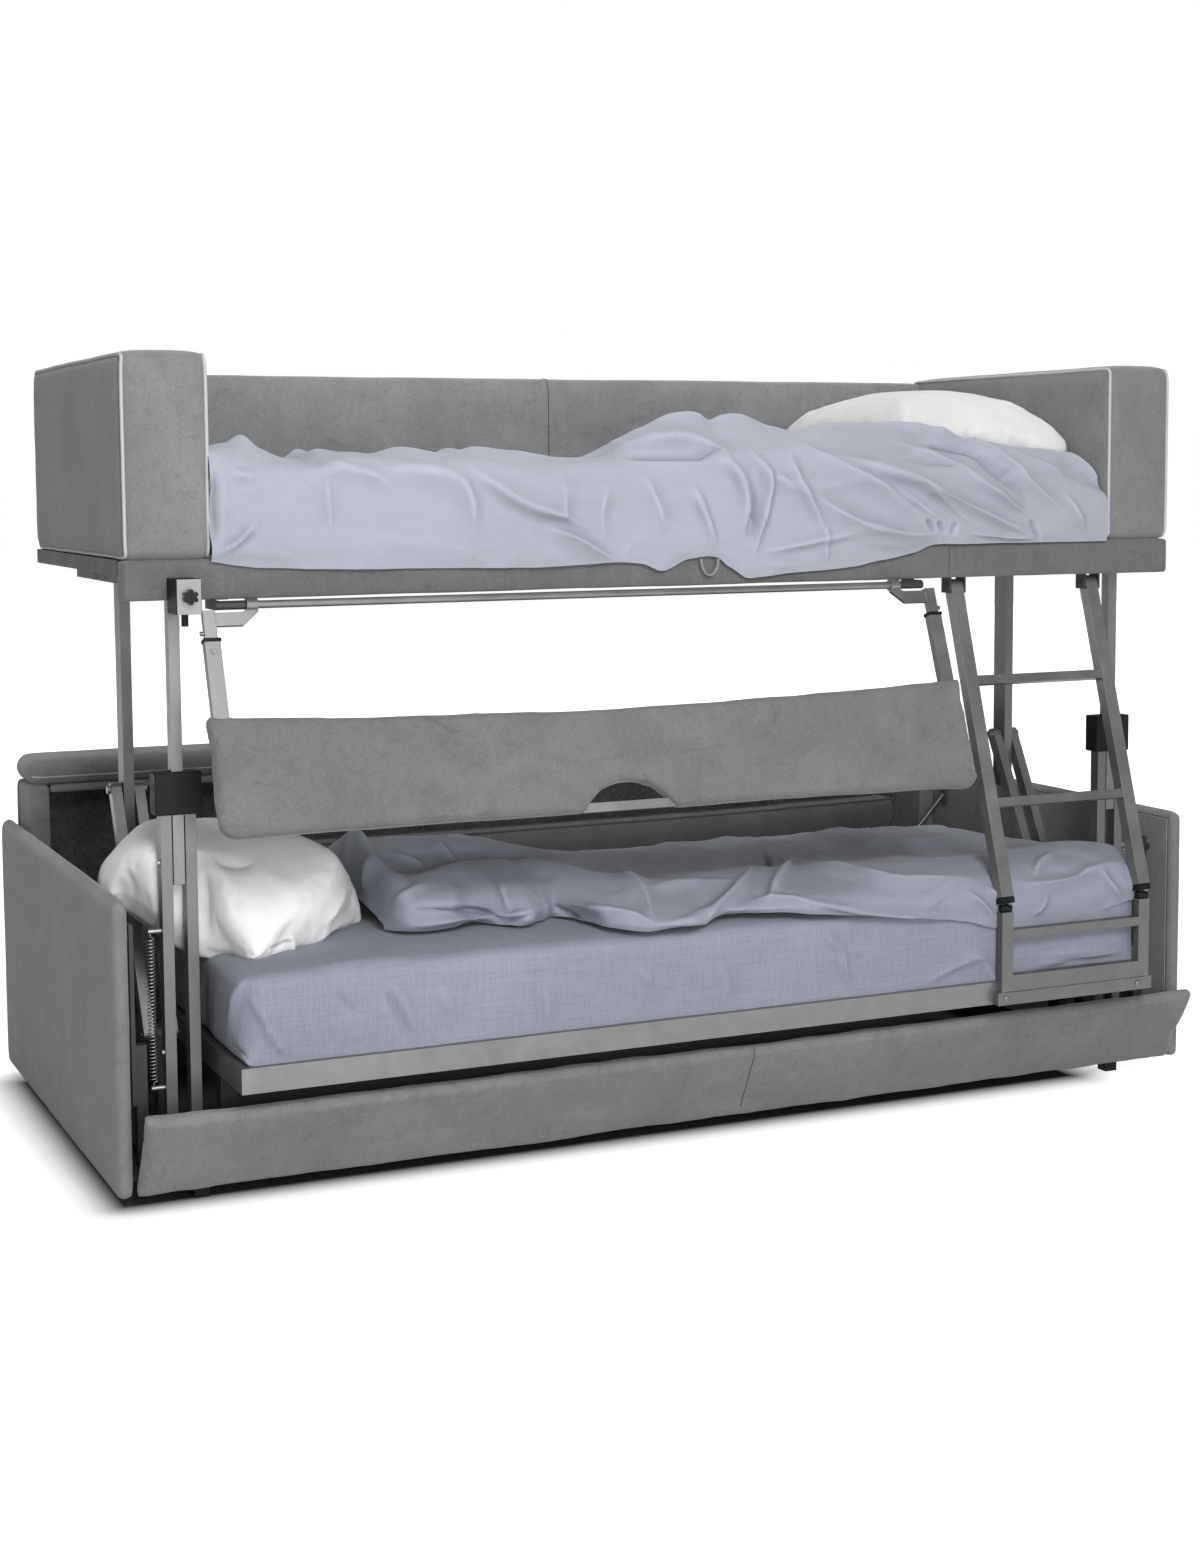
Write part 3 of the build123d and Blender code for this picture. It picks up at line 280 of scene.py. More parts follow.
def moulded(name, colour, rough):
    """Moulded plastic with a fine spark texture and handling marks."""
    mat, tree, shader, coords = new_material(name)
    spark = clouds(tree, coords, 700.0, 2.0, 0.6)
    marks = clouds(tree, coords, 25.0, 4.0, 0.65, 1.0)
    tinted(tree, shader, colour, band(tree, marks, 0.3, 0.7, 0.8, 1.25))
    tree.links.new(band(tree, marks, 0.25, 0.75, rough * 0.8, rough * 1.3), shader.inputs["Roughness"])
    set_all(shader, Specular_IOR_Level=0.2)
    bumped(tree, shader, spark, 0.15, 0.0003, broken_edges(tree, 0.0015))
    return mat


def wood(name, colour):
    """Plain slat wood with grain along Y."""
    mat, tree, shader, coords = new_material(name)
    rings = clouds(tree, spread(tree, coords, (60.0, 3.0, 60.0)), 1.4, 5.0, 0.6, 1.5)
    pores = clouds(tree, spread(tree, coords, (900.0, 30.0, 900.0)), 1.0, 2.0, 0.6)
    tinted(tree, shader, colour, times(tree, band(tree, rings, 0.3, 0.7, 0.72, 1.2),
                                       band(tree, pores, 0.3, 0.7, 0.93, 1.05)))
    set_all(shader, Roughness=0.55)
    bumped(tree, shader, pores, 0.2, 0.0004)
    return mat


LOOKS = {
    "upholstery": suede("microsuede", (0.205, 0.207, 0.208)),
    "lining": fleece("fleece_lining", (0.075, 0.076, 0.079)),
    "steel": metal("satin_steel", (0.2, 0.2, 0.198), 0.36, 0.7),
    "dark_steel": metal("dark_steel", (0.035, 0.035, 0.037), 0.5, 0.3),
    "spring_steel": metal("spring_steel", (0.36, 0.36, 0.355), 0.4, 0.8, 0.0003),
    "plastic": moulded("black_plastic", (0.007, 0.007, 0.008), 0.55),
    "slat_wood": wood("slat_wood", (0.55, 0.4, 0.25)),
    "sheet": cotton("cotton_sheet", (0.362, 0.379, 0.435), 0.03, 0.15, painted_crest_amount=0.13),
    # The lower cover is the sheet's cloth made darker: painted shade under the upper bunk
    "blanket": cotton("cotton_cover_painted_shade", (0.275, 0.291, 0.345), 0.045, 0.25, painted_crest_amount=0.15),
    "fitted_sheet": cotton("linen_sheet", (0.262, 0.277, 0.332), 0.11, 0.35, painted_crest_amount=0.07),
    "pillowcase": cotton("pillow_cotton", (0.7, 0.7, 0.69), 0.04, 0.3, painted_crest_amount=0.14),
}
BRIGHT_STEEL = metal("bright_steel", (0.23, 0.23, 0.227), 0.45, 0.6)
# Copies of the satin steel, darker or lighter for how each part is lit: painted shade on the front posts and
# sleeves, more painted shade on the guide tubes, rear posts and ladder base, and painted light on the stiles
POST_STEEL_PAINTED_SHADE = metal("post_steel_painted_shade", (0.19, 0.19, 0.188), 0.4, 0.65)
GUIDE_STEEL_PAINTED_SHADE = metal("guide_steel_painted_shade", (0.15, 0.15, 0.148), 0.4, 0.65)
STILE_STEEL_PAINTED_LIGHT = metal("stile_steel_painted_light", (0.24, 0.24, 0.237), 0.36, 0.7)
KNOB_BLACK = moulded("knob_black", (0.008, 0.008, 0.009), 0.18)
# Lighter copy of the pillow cotton for the lower pillow: painted light against the shade of the upper bunk
PAINTED_LIGHT_CASE = cotton("lower_pillow_cotton_painted_light", (0.84, 0.84, 0.83), 0.04, 0.3, painted_crest_amount=0.14)
PIPING = cotton("piping_cloth", (0.5, 0.5, 0.5), 0.04, 0.2)
# Lighter copy of the microsuede for the back guard: painted light
BACK_SUEDE_PAINTED_LIGHT = suede("back_guard_microsuede_painted_light", (0.25, 0.252, 0.253))
# Darker copy of the microsuede for the guard panel: painted shade
PANEL_SUEDE_PAINTED_SHADE = suede("guard_panel_microsuede_painted_shade", (0.162, 0.164, 0.165))
# Darker copy of the microsuede for the front rail: painted shade under the sheet's hem
RAIL_SUEDE_PAINTED_SHADE = suede("front_rail_microsuede_painted_shade", (0.142, 0.143, 0.144))
# Darker copy of the microsuede for the stowed cushion: painted shade under the upper bunk
PAINTED_SHADE_SUEDE = suede("painted_shade_microsuede", (0.1, 0.101, 0.102), 0.2, 0.2)
# Dark line material for seams, grooves and the stowed cushion's piping: painted shadow
PAINTED_SEAM_SHADOW = suede("seam_shadow", (0.075, 0.075, 0.077), 0.1, 0.1)
STITCH = cotton("stitch_thread", (0.34, 0.34, 0.34), 0.1, 0.4)
WEBBING = cotton("loop_webbing", (0.30, 0.30, 0.30), 0.2, 0.6)

BODY = {node: body for body, nodes in frame["record"]["behaviour"]["bodies"].items() for node in nodes}
SLOT = {part["node"]: part["material_slot"] for part in frame["record"]["subparts"]}
for node, obj in NODES.items():
    obj.data.materials.clear()
    obj.data.materials.append(LOOKS[SLOT[node]])
# Materials in place of the slot's: the clamp plate's, hand-hole bar's and knob's own finishes, and steel
# copies that carry painted light and shade
FINISHES_AND_PAINTED_LIGHT = ((BRIGHT_STEEL, ("clamp_plate", "hand_hole_bar")), (POST_STEEL_PAINTED_SHADE, ("front_posts", "guard_sleeves")),
            (GUIDE_STEEL_PAINTED_SHADE, ("guide_tubes", "rear_posts", "ladder_base_posts", "ladder_base_plate")),
            (STILE_STEEL_PAINTED_LIGHT, ("ladder_stiles",)), (KNOB_BLACK, ("star_knob",)))
for finish, nodes in FINISHES_AND_PAINTED_LIGHT:
    for node in nodes:
        NODES[node].data.materials[0] = finish


# Meshes
HOME = {obj.name: node for node, obj in NODES.items()}
SWELL_NOISE = (0.9, 2.0)  # dimension and lacunarity
CREASE_NOISE = (1.0, 2.1, 3, 0.85, 1.6)  # dimension, lacunarity, octaves, offset, gain
FADE = 60  # millimetres over which folds die out


def coords_of(obj):
    """The mesh's points as rows, in metres."""
    flat = np.empty(len(obj.data.vertices) * 3)
    obj.data.vertices.foreach_get("co", flat)
    return flat.reshape(-1, 3)


def normals_of(obj):
    """The way out of the surface at each point."""
    flat = np.empty(len(obj.data.vertices) * 3)
    obj.data.vertex_normals.foreach_get("vector", flat)
    return flat.reshape(-1, 3)


def set_coords(obj, points):
    """Moves the mesh's points."""
    obj.data.vertices.foreach_set("co", np.ascontiguousarray(points, float).ravel())
    obj.data.update()


def smooth_shaded(obj):
    """Shades every face smooth."""
    obj.data.polygons.foreach_set("use_smooth", [True] * len(obj.data.polygons))
    obj.data.update()


def applied(obj):
    """The object's mesh with its modifiers applied."""
    bpy.context.view_layer.update()
    graph = bpy.context.evaluated_depsgraph_get()
    mesh = bpy.data.meshes.new_from_object(obj.evaluated_get(graph))
    obj.modifiers.clear()
    obj.data = mesh
    return obj


def modifier(obj, kind, **settings):
    """Adds a modifier with its settings."""
    mod = obj.modifiers.new(kind.lower(), kind)
    for name, value in settings.items():
        setattr(mod, name, value)
    return mod


def soft_copy(node, voxel, smooth, name=None):
    """The CAD solid's mesh as a new, evenly meshed piece, noted in HOME with its node."""
    obj = linked(name or node + "_pad", NODES[node].data.copy())
    HOME[obj.name] = node
    build = bmesh.new()
    build.from_mesh(obj.data)
    bmesh.ops.remove_doubles(build, verts=build.verts, dist=1e-5)
    build.to_mesh(obj.data)
    build.free()
    modifier(obj, "REMESH", mode="VOXEL", voxel_size=voxel * MM)
    modifier(obj, "SMOOTH", factor=0.5, iterations=smooth)
    applied(obj)
    smooth_shaded(obj)
    return obj


def inflate(obj, pressure, cap, grow, start):
    """Blows the piece up as cloth, and keeps every point within cap millimetres of where it began."""
    frames = 14
    set_coords(obj, coords_of(obj) - normals_of(obj) * start * MM)
    rest = coords_of(obj)
    mod = obj.modifiers.new("cloth", "CLOTH")
    cloth = mod.settings
    cloth.quality = 3
    cloth.mass = 0.2
    cloth.tension_stiffness = cloth.compression_stiffness = 12.0
    cloth.shear_stiffness = 6.0
    cloth.bending_stiffness = 0.3
    cloth.use_pressure = True
    cloth.uniform_pressure_force = pressure
    cloth.shrink_min = -grow
    cloth.effector_weights.gravity = 0.0
    mod.collision_settings.use_collision = False
    mod.point_cache.frame_start = 1
    mod.point_cache.frame_end = frames
    for number in range(1, frames + 1):
        SCENE.frame_set(number)
    graph = bpy.context.evaluated_depsgraph_get()
    moved = np.empty(rest.size)
    obj.evaluated_get(graph).data.vertices.foreach_get("co", moved)
    obj.modifiers.remove(mod)
    move = moved.reshape(-1, 3) - rest
    length = np.linalg.norm(move, axis=1, keepdims=True)
    set_coords(obj, rest + move * np.minimum(1.0, cap * MM / np.maximum(length, 1e-9)))
    SCENE.frame_set(1)
    return obj


def puff(obj, height, reach=45.0):
    """Crowns every face of the piece, most where it is far from the piece's edges."""
    points, ways = coords_of(obj), normals_of(obj)
    low, high = points.min(0), points.max(0)
    inside = np.minimum(points - low, high - points) / (reach * MM)
    rise = 1 - (1 - np.clip(inside, 0, 1)) ** 2
    for axis in range(3):
        facing = np.abs(ways[:, axis]) ** 2
        first, second = [other for other in range(3) if other != axis]
        points[:, axis] += np.sign(ways[:, axis]) * facing * rise[:, first] * rise[:, second] * height * MM
    set_coords(obj, points)
    return obj


def rumple(obj, height, scale, seed=0.0, detail=3):
    """Soft uneven swell along the normals."""
    points, ways = coords_of(obj), normals_of(obj)
    offset = Vector((seed, seed * 1.7, seed * 0.6))
    swell = np.array([noise.fractal(Vector(p) * scale + offset, *SWELL_NOISE, detail) for p in points])
    set_coords(obj, points + ways * (swell * height * MM)[:, None])
    return obj


def finer(obj):
    """The mesh with each face split in four and its corners eased."""
    modifier(obj, "SUBSURF", levels=1, render_levels=1, subdivision_type="CATMULL_CLARK")
    return applied(obj)


def settle(obj, material=None):
    """Gives the piece its node's finish and body, and hides the node."""
    node = HOME[obj.name]
    obj.data.materials.clear()
    obj.data.materials.append(material or LOOKS[SLOT[node]])
    smooth_shaded(obj)
    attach(obj, BODY[node])
    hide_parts(node)
    return obj


# Lines on the surface
def eased(points, times_over=2):
    """The line with its corners cut, as plain points."""
    line = np.array(points, float)
    for _ in range(times_over):
        first, last = line[:-1] * 0.75 + line[1:] * 0.25, line[:-1] * 0.25 + line[1:] * 0.75
        line = np.vstack([line[:1], np.stack([first, last], 1).reshape(-1, line.shape[1]), line[-1:]])
    return line


FOLD_GAIN = 2.1


def fold(u, v, line, height, above, below, taper=0.38):
    """Height of a fold along a line: a crest that falls away on both sides of it."""
    line = eased(line)
    best = np.full(u.shape, FAR)
    side, along = np.zeros(u.shape), np.zeros(u.shape)
    steps = line[1:] - line[:-1]
    lengths = np.linalg.norm(steps, axis=1)
    run, total = 0.0, lengths.sum()
    for start, step, length in zip(line[:-1], steps, lengths):
        if length < 1e-9:
            continue
        way = step / length
        reach = np.clip((u - start[0]) * way[0] + (v - start[1]) * way[1], 0, length)
        off_u, off_v = u - start[0] - way[0] * reach, v - start[1] - way[1] * reach
        distance = np.hypot(off_u, off_v)
        near = distance < best
        best = np.where(near, distance, best)
        side = np.where(near, way[0] * off_v - way[1] * off_u, side)
        along = np.where(near, (run + reach) / total, along)
        run += length
    fall = np.clip(1 - best / np.where(side > 0, below, above), 0, 1)
    ends = np.clip(np.minimum(along, 1 - along) / taper, 0, 1)
    return height * fall * fall * (3 - 2 * ends) * ends * ends


def creased(obj, height, stretch, seed):
    """Small sharp wrinkles that run mostly one way."""
    points, ways = coords_of(obj), normals_of(obj)
    offset = Vector((seed, seed * 0.7, seed * 1.3))
    scaled = points * np.array(stretch)
    ridge = np.array([noise.ridged_multi_fractal(Vector(p) + offset, *CREASE_NOISE) for p in scaled])
    ridge = np.tanh((ridge - ridge.mean()) / ridge.std())
    set_coords(obj, points + ways * (ridge * height * MM)[:, None])
    return obj


def folded(obj, lines, seen):
    """Folds drawn along lines of the photograph, on the points that seen picks."""
    points, ways = coords_of(obj), normals_of(obj)
    u, v = to_photo(points)
    total = np.zeros(len(points))
    for line, height, above, below in lines:
        total += fold(u, v, line, height, above, below)
    set_coords(obj, points + ways * (total * FOLD_GAIN * seen(points, ways) * MM)[:, None])
    return obj


def tree_of(obj):
    """The surface, for finding the nearest place on it."""
    bpy.context.view_layer.update()
    return BVHTree.FromPolygons([v.co for v in obj.data.vertices], [p.vertices for p in obj.data.polygons])


def line_on(name, carrier, points, radius, material, sink=0.3, step=10.0, closed=False):
    """Piping, seam or stitching: a thin round line laid on a piece's surface."""
    tree = tree_of(carrier)
    corners = [Vector(p) for p in points]
    if closed:
        corners.append(corners[0])
    path = []
    for a, b in zip(corners[:-1], corners[1:]):
        count = max(1, int((b - a).length / (step * MM)))
        path += [a.lerp(b, i / count) for i in range(count)]
    if not closed:
        path.append(corners[-1])
    curve = bpy.data.curves.new(name, "CURVE")
    curve.dimensions = "3D"
    curve.bevel_depth = radius * MM
    curve.bevel_resolution = 3
    curve.use_fill_caps = True
    spline = curve.splines.new("POLY")
    spline.points.add(len(path) - 1)
    for knot, point in zip(spline.points, path):
        spot, way, _, _ = tree.find_nearest(point)
        knot.co = (*(spot + way * radius * MM * (1 - 2 * sink)), 1.0)
    spline.use_cyclic_u = closed
    obj = linked(name, curve)
    curve.materials.append(material)
    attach(obj, BODY[HOME[carrier.name]])
    return obj


def groove(obj, points, depth, width, step=8.0):
    """Presses a sewn line into the surface."""
    reach = 4 * width * MM
    spots = []
    for a, b in zip(points[:-1], points[1:]):
        a, b = np.array(a), np.array(b)
        count = max(1, int(np.linalg.norm(b - a) / (step * MM)))
        spots += [a + (b - a) * i / count for i in range(count + 1)]
    spots = np.array(spots)
    here, ways = coords_of(obj), normals_of(obj)
    low, high = spots.min(0) - reach, spots.max(0) + reach
    near = np.where(((here > low) & (here < high)).all(1))[0]
    close, nearest = here[near], np.full(len(near), FAR)
    for spot in spots:
        nearest = np.minimum(nearest, np.linalg.norm(close - spot, axis=1))
    push = np.exp(-(nearest / (width * MM)) ** 2) * depth * MM
    here[near] -= ways[near] * push[:, None]
    set_coords(obj, here)
    return obj


def rounded_loop(axis, at, first, second, corner, count=5):
    """Rounded rectangle on the plane where one axis is held: 0 for X, 1 for Y."""
    (a0, a1), (b0, b1) = first, second
    points = []
    for ca, cb, turn in ((a1 - corner, b1 - corner, 0), (a0 + corner, b1 - corner, 1),
                         (a0 + corner, b0 + corner, 2), (a1 - corner, b0 + corner, 3)):
        for i in range(count + 1):
            angle = (turn + i / count) * math.pi / 2
            a, b = ca + corner * math.cos(angle), cb + corner * math.sin(angle)
            points.append(place(at, a, b) if axis == 0 else place(a, at, b))
    return points


# Upholstery of the sofa shell
def box_of(node):
    """The node's box in millimetres on the bed."""
    return [(low / MM - shift, high / MM - shift) for low, high, shift in zip(*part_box(node), (0, SHIFT, 0))]


def panel(node, voxel, crown, seed, name=None):
    """An upholstered board with a crowned face."""
    obj = soft_copy(node, voxel, 2, name)
    puff(obj, crown)
    rumple(obj, 0.8, 5.0, seed)
    return settle(finer(obj))


for side, sign in (("left", -1), ("right", 1)):
    node = side + "_arm"
    arm = panel(node, 9.0, 2.5, seed=3.0 + sign)
    (x0, x1), (y0, y1), (z0, z1) = box_of(node)
    inner = x1 if sign < 0 else x0
    # Of each arm's two lines, the first, nearer the edge, is painted seam shadow and the second is the
    # stitching thread
    for number, inset in enumerate((13.0, 17.0)):
        line = [place(inner, y0 + inset, z0 + 6), place(inner, y0 + inset, z1 - inset),
                place(inner, y1 - 20, z1 - inset)]
        line_on(f"{node}_stitch_{number}", arm, line, 0.7, STITCH if number else PAINTED_SEAM_SHADOW)

roll = panel("back_roll", 9.0, 3.5, seed=9.0)
(x0, x1), (y0, y1), (z0, z1) = box_of("back_roll")
roll_seam = [place(x0 + 4, y0, z0 + 16), place(x1 - 4, y0, z0 + 16)]
line_on("back_roll_seam", roll, roll_seam, 1.6, PIPING)
board = panel("back_board", 10.0, 3.0, seed=12.0)
(x0, x1), (y0, y1), (z0, z1) = box_of("back_board")
for number, x in enumerate((-370.0, 370.0)):
    seam = [place(x, y1, z0 + 8), place(x, y1, z1 - 4)]
    line_on(f"back_board_seam_{number}", board, seam, 0.9, PAINTED_SEAM_SHADOW)
panel("back_pillars", 7.0, 0.0, 14.0, "back_pillar_pads")
panel("back_lip", 5.0, 0.0, 15.0, "back_lip_strip")
lining = soft_copy("back_lining", 6.0, 1, "fleece_panel")
rumple(lining, 3.0, 32.0, 4.0, 4)
settle(finer(lining))

cushion = soft_copy("stowed_cushion", 11.0, 2)
inflate(cushion, 4.0, 9.0, 0.02, 3.0)
rumple(cushion, 1.2, 5.0, 21.0)
# The stowed cushion's darker microsuede is painted shade
cushion = settle(finer(cushion), PAINTED_SHADE_SUEDE)
(x0, x1), (y0, y1), (z0, z1) = box_of("stowed_cushion")
for number, y in enumerate((y0 + 12, y1 - 8)):
    loop = rounded_loop(1, y, (x0 + 5, x1 - 5), (z0 + 3, z1 - 4), 24.0)
    line_on(f"stowed_cushion_piping_{number}", cushion, loop, 2.4, PAINTED_SEAM_SHADOW, closed=True)

# Upper bunk upholstery
for side, sign in (("left", -1), ("right", 1)):
    node = side + "_end_block"
    block = soft_copy(node, 10.0, 1)
    puff(block, 5.0, 60.0)
    rumple(block, 1.2, 5.0, 30.0 + sign)
    block = finer(block)
    settle(block)
    (x0, x1), (y0, y1), (z0, z1) = box_of(node)
    for number, x in enumerate((x0 + 3.5, x1 - 3.5)):
        loop = rounded_loop(0, x, (y0 + 3.5, y1 - 3.5), (z0 + 3.5, z1 - 3.5), 12.0)
        line_on(f"{node}_piping_{number}", block, loop, 3.2, PIPING, closed=True)

guard = soft_copy("back_guard", 10.0, 1)
inflate(guard, 3.0, 5.0, 0.01, 1.5)
rumple(guard, 1.2, 4.0, 41.0)
(x0, x1), (y0, y1), (z0, z1) = box_of("back_guard")
seam_x = -8.0
for y in (y0, y1):
    groove(guard, [place(seam_x, y, z0 + 4), place(seam_x, y, z1 - 3)], 2.5, 7.0)
# The back guard's lighter microsuede is painted light
guard = settle(finer(guard), BACK_SUEDE_PAINTED_LIGHT)
guard_seam = [(y0, z0 + 4), (y0, z1 - 8), (y0 + 10, z1), (y1 - 10, z1), (y1, z1 - 8), (y1, z0 + 4)]
line_on("back_guard_seam", guard, [place(seam_x, y, z) for y, z in guard_seam], 0.9, PAINTED_SEAM_SHADOW)

rail = soft_copy("upper_front_rail", 5.0, 1, "upper_front_rail_cover")
rumple(rail, 0.9, 6.0, 50.0)
(x0, x1), (y0, y1), (z0, z1) = box_of("upper_front_rail")
points = coords_of(rail)
hem_top, hem_band, hem_drop = 30, 20, 5
turned_under = np.clip((z0 + hem_top - points[:, 2] / MM) / hem_band, 0, 1)
points[:, 2] -= turned_under * hem_drop * MM
set_coords(rail, points)
rail_seam_x = 560
groove(rail, [place(rail_seam_x, y0, z0), place(rail_seam_x, y0, z1)], 1.6, 5.0)
# The front rail's darker microsuede is painted shade
rail = settle(finer(rail), RAIL_SUEDE_PAINTED_SHADE)
rail_seam = [place(rail_seam_x, y0, z0 + 2), place(rail_seam_x, y0, z1 - 2)]
line_on("upper_front_rail_seam", rail, rail_seam, 0.8, PAINTED_SEAM_SHADOW)

# Guard panel
leaf = soft_copy("guard_panel", 7.0, 1)
inflate(leaf, 3.0, 5.0, 0.012, 1.0)
rumple(leaf, 1.3, 6.0, 60.0)
creased(leaf, 0.8, (5.0, 9.0, 9.0), 61.0)
# The guard panel's darker microsuede is painted shade
settle(finer(leaf), PANEL_SUEDE_PAINTED_SHADE)

# Front flap
flap = soft_copy("front_flap", 8.0, 1)
inflate(flap, 2.5, 4.0, 0.012, 1.0)
rumple(flap, 2.2, 5.0, 70.0)
creased(flap, 1.0, (5.0, 9.0, 9.0), 71.0)
(x0, x1), (y0, y1), (z0, z1) = box_of("front_flap")
flap_seam_x = 66.0
flap_seam = [place(flap_seam_x, y0 + 2, z1 - 6), place(flap_seam_x, y0 + 50, z0 + 20)]
groove(flap, flap_seam, 2.2, 6.0)
flap = settle(finer(flap))
line_on("front_flap_seam", flap, flap_seam, 0.9, PAINTED_SEAM_SHADOW)


# Sheets
SECTION_EASE, HEM_CROWDING = 0.6, 1.35


def smoothed_columns(stations, xs):
    """Cross-sections at each X between the given ones, eased from one to the next."""
    given = np.array([x for x, _ in stations], float)
    shapes = np.array([corners for _, corners in stations], float)
    flat = shapes.reshape(len(stations), -1)
    slopes = np.gradient(flat, given, axis=0) * SECTION_EASE
    out = np.empty((len(xs), flat.shape[1]))
    for row, x in enumerate(xs):
        i = int(np.clip(np.searchsorted(given, x) - 1, 0, len(given) - 2))
        span = given[i + 1] - given[i]
        t = (x - given[i]) / span
        out[row] = ((2 * t ** 3 - 3 * t ** 2 + 1) * flat[i] + (t ** 3 - 2 * t ** 2 + t) * span * slopes[i]
                    + (3 * t ** 2 - 2 * t ** 3) * flat[i + 1] + (t ** 3 - t ** 2) * span * slopes[i + 1])
    return out.reshape(len(xs), -1, 2)


def draped(name, node, stations, columns, rows):
    """Open cloth through cross-sections along X, each a list of (y, z) from hem to back edge."""
    xs = np.linspace(stations[0][0], stations[-1][0], columns)
    sections = smoothed_columns(stations, xs)
    points = np.empty((columns, rows, 3))
    for i, (x, section) in enumerate(zip(xs, sections)):
        line = eased(section, 3)
        run = np.concatenate([[0], np.cumsum(np.linalg.norm(np.diff(line, axis=0), axis=1))])
        s = np.linspace(0, 1, rows) ** HEM_CROWDING * run[-1]
        points[i, :, 0] = x
        points[i, :, 1] = np.interp(s, run, line[:, 0]) + SHIFT
        points[i, :, 2] = np.interp(s, run, line[:, 1])
    verts = (points * MM).reshape(-1, 3)
    faces = [(i * rows + j, (i + 1) * rows + j, (i + 1) * rows + j + 1, i * rows + j + 1)
             for i in range(columns - 1) for j in range(rows - 1)]
    obj = listed(name, verts.tolist(), faces)
    HOME[obj.name] = node
    smooth_shaded(obj)
    return obj


# Upper sheet: X, hem, front edge, crest, crest's depth, back edge
upper_shape = [
    (-949, 1124, 1318, 1326, 60, 640), (-900, 1116, 1309, 1330, 70, 640), (-866, 1112, 1303, 1344, 90, 645),
    (-835, 1111, 1300, 1322, 90, 650), (-766, 1108, 1297, 1306, 90, 650), (-729, 1107, 1303, 1325, 95, 650),
    (-682, 1106, 1307, 1318, 100, 650), (-626, 1105, 1302, 1314, 100, 645),
    (-549, 1104, 1300, 1328, 120, 640), (-482, 1103, 1299, 1314, 110, 640),
    (-403, 1102, 1295, 1325, 130, 635), (-343, 1101, 1291, 1317, 110, 630),
    (-262, 1104, 1295, 1308, 100, 630), (-190, 1108, 1299, 1310, 100, 625), (-126, 1103, 1305, 1342, 90, 620),
    (-85, 1089, 1309, 1360, 85, 615), (-26, 1110, 1310, 1388, 80, 610), (31, 1112, 1308, 1391, 80, 600),
    (60, 1092, 1309, 1376, 85, 600), (97, 1071, 1321, 1386, 90, 590), (129, 1073, 1323, 1388, 95, 580),
    (206, 1079, 1320, 1366, 100, 560), (251, 1081, 1314, 1357, 100, 540), (329, 1087, 1300, 1370, 90, 500),
    (395, 1099, 1297, 1375, 85, 460), (470, 1112, 1294, 1375, 80, 380), (515, 1126, 1288, 1370, 80, 250),
    (577, 1127, 1277, 1355, 80, 150), (651, 1127, 1274, 1332, 80, 146), (724, 1127, 1271, 1331, 82, 146),
    (835, 1126, 1262, 1322, 82, 146), (900, 1126, 1248, 1305, 75, 140), (938, 1126, 1234, 1286, 60, 130),
]


def upper_section(x, hem, edge, crest, depth, back):
    """The sheet's cut at one X: up the hanging front, over the crest and down to the mattress."""
    flat_top = 1268 if back > 200 else crest - 20
    behind, fall = back - depth, crest - flat_top
    return x, [(-9, hem), (-15, hem + 30), (-14, (hem + edge) / 2), (-12, edge - 40), (-2, edge - 12),
               (26, edge), (depth - 18, crest - 8), (depth, crest),
               (depth + behind * 0.25, crest - 10 - fall * 0.35),
               (depth + behind * 0.6, flat_top + fall * 0.2), (back, flat_top)]


upper_sections = [upper_section(*row) for row in upper_shape]
upper_sheet = draped("upper_sheet", "upper_blanket", upper_sections, 520, 150)

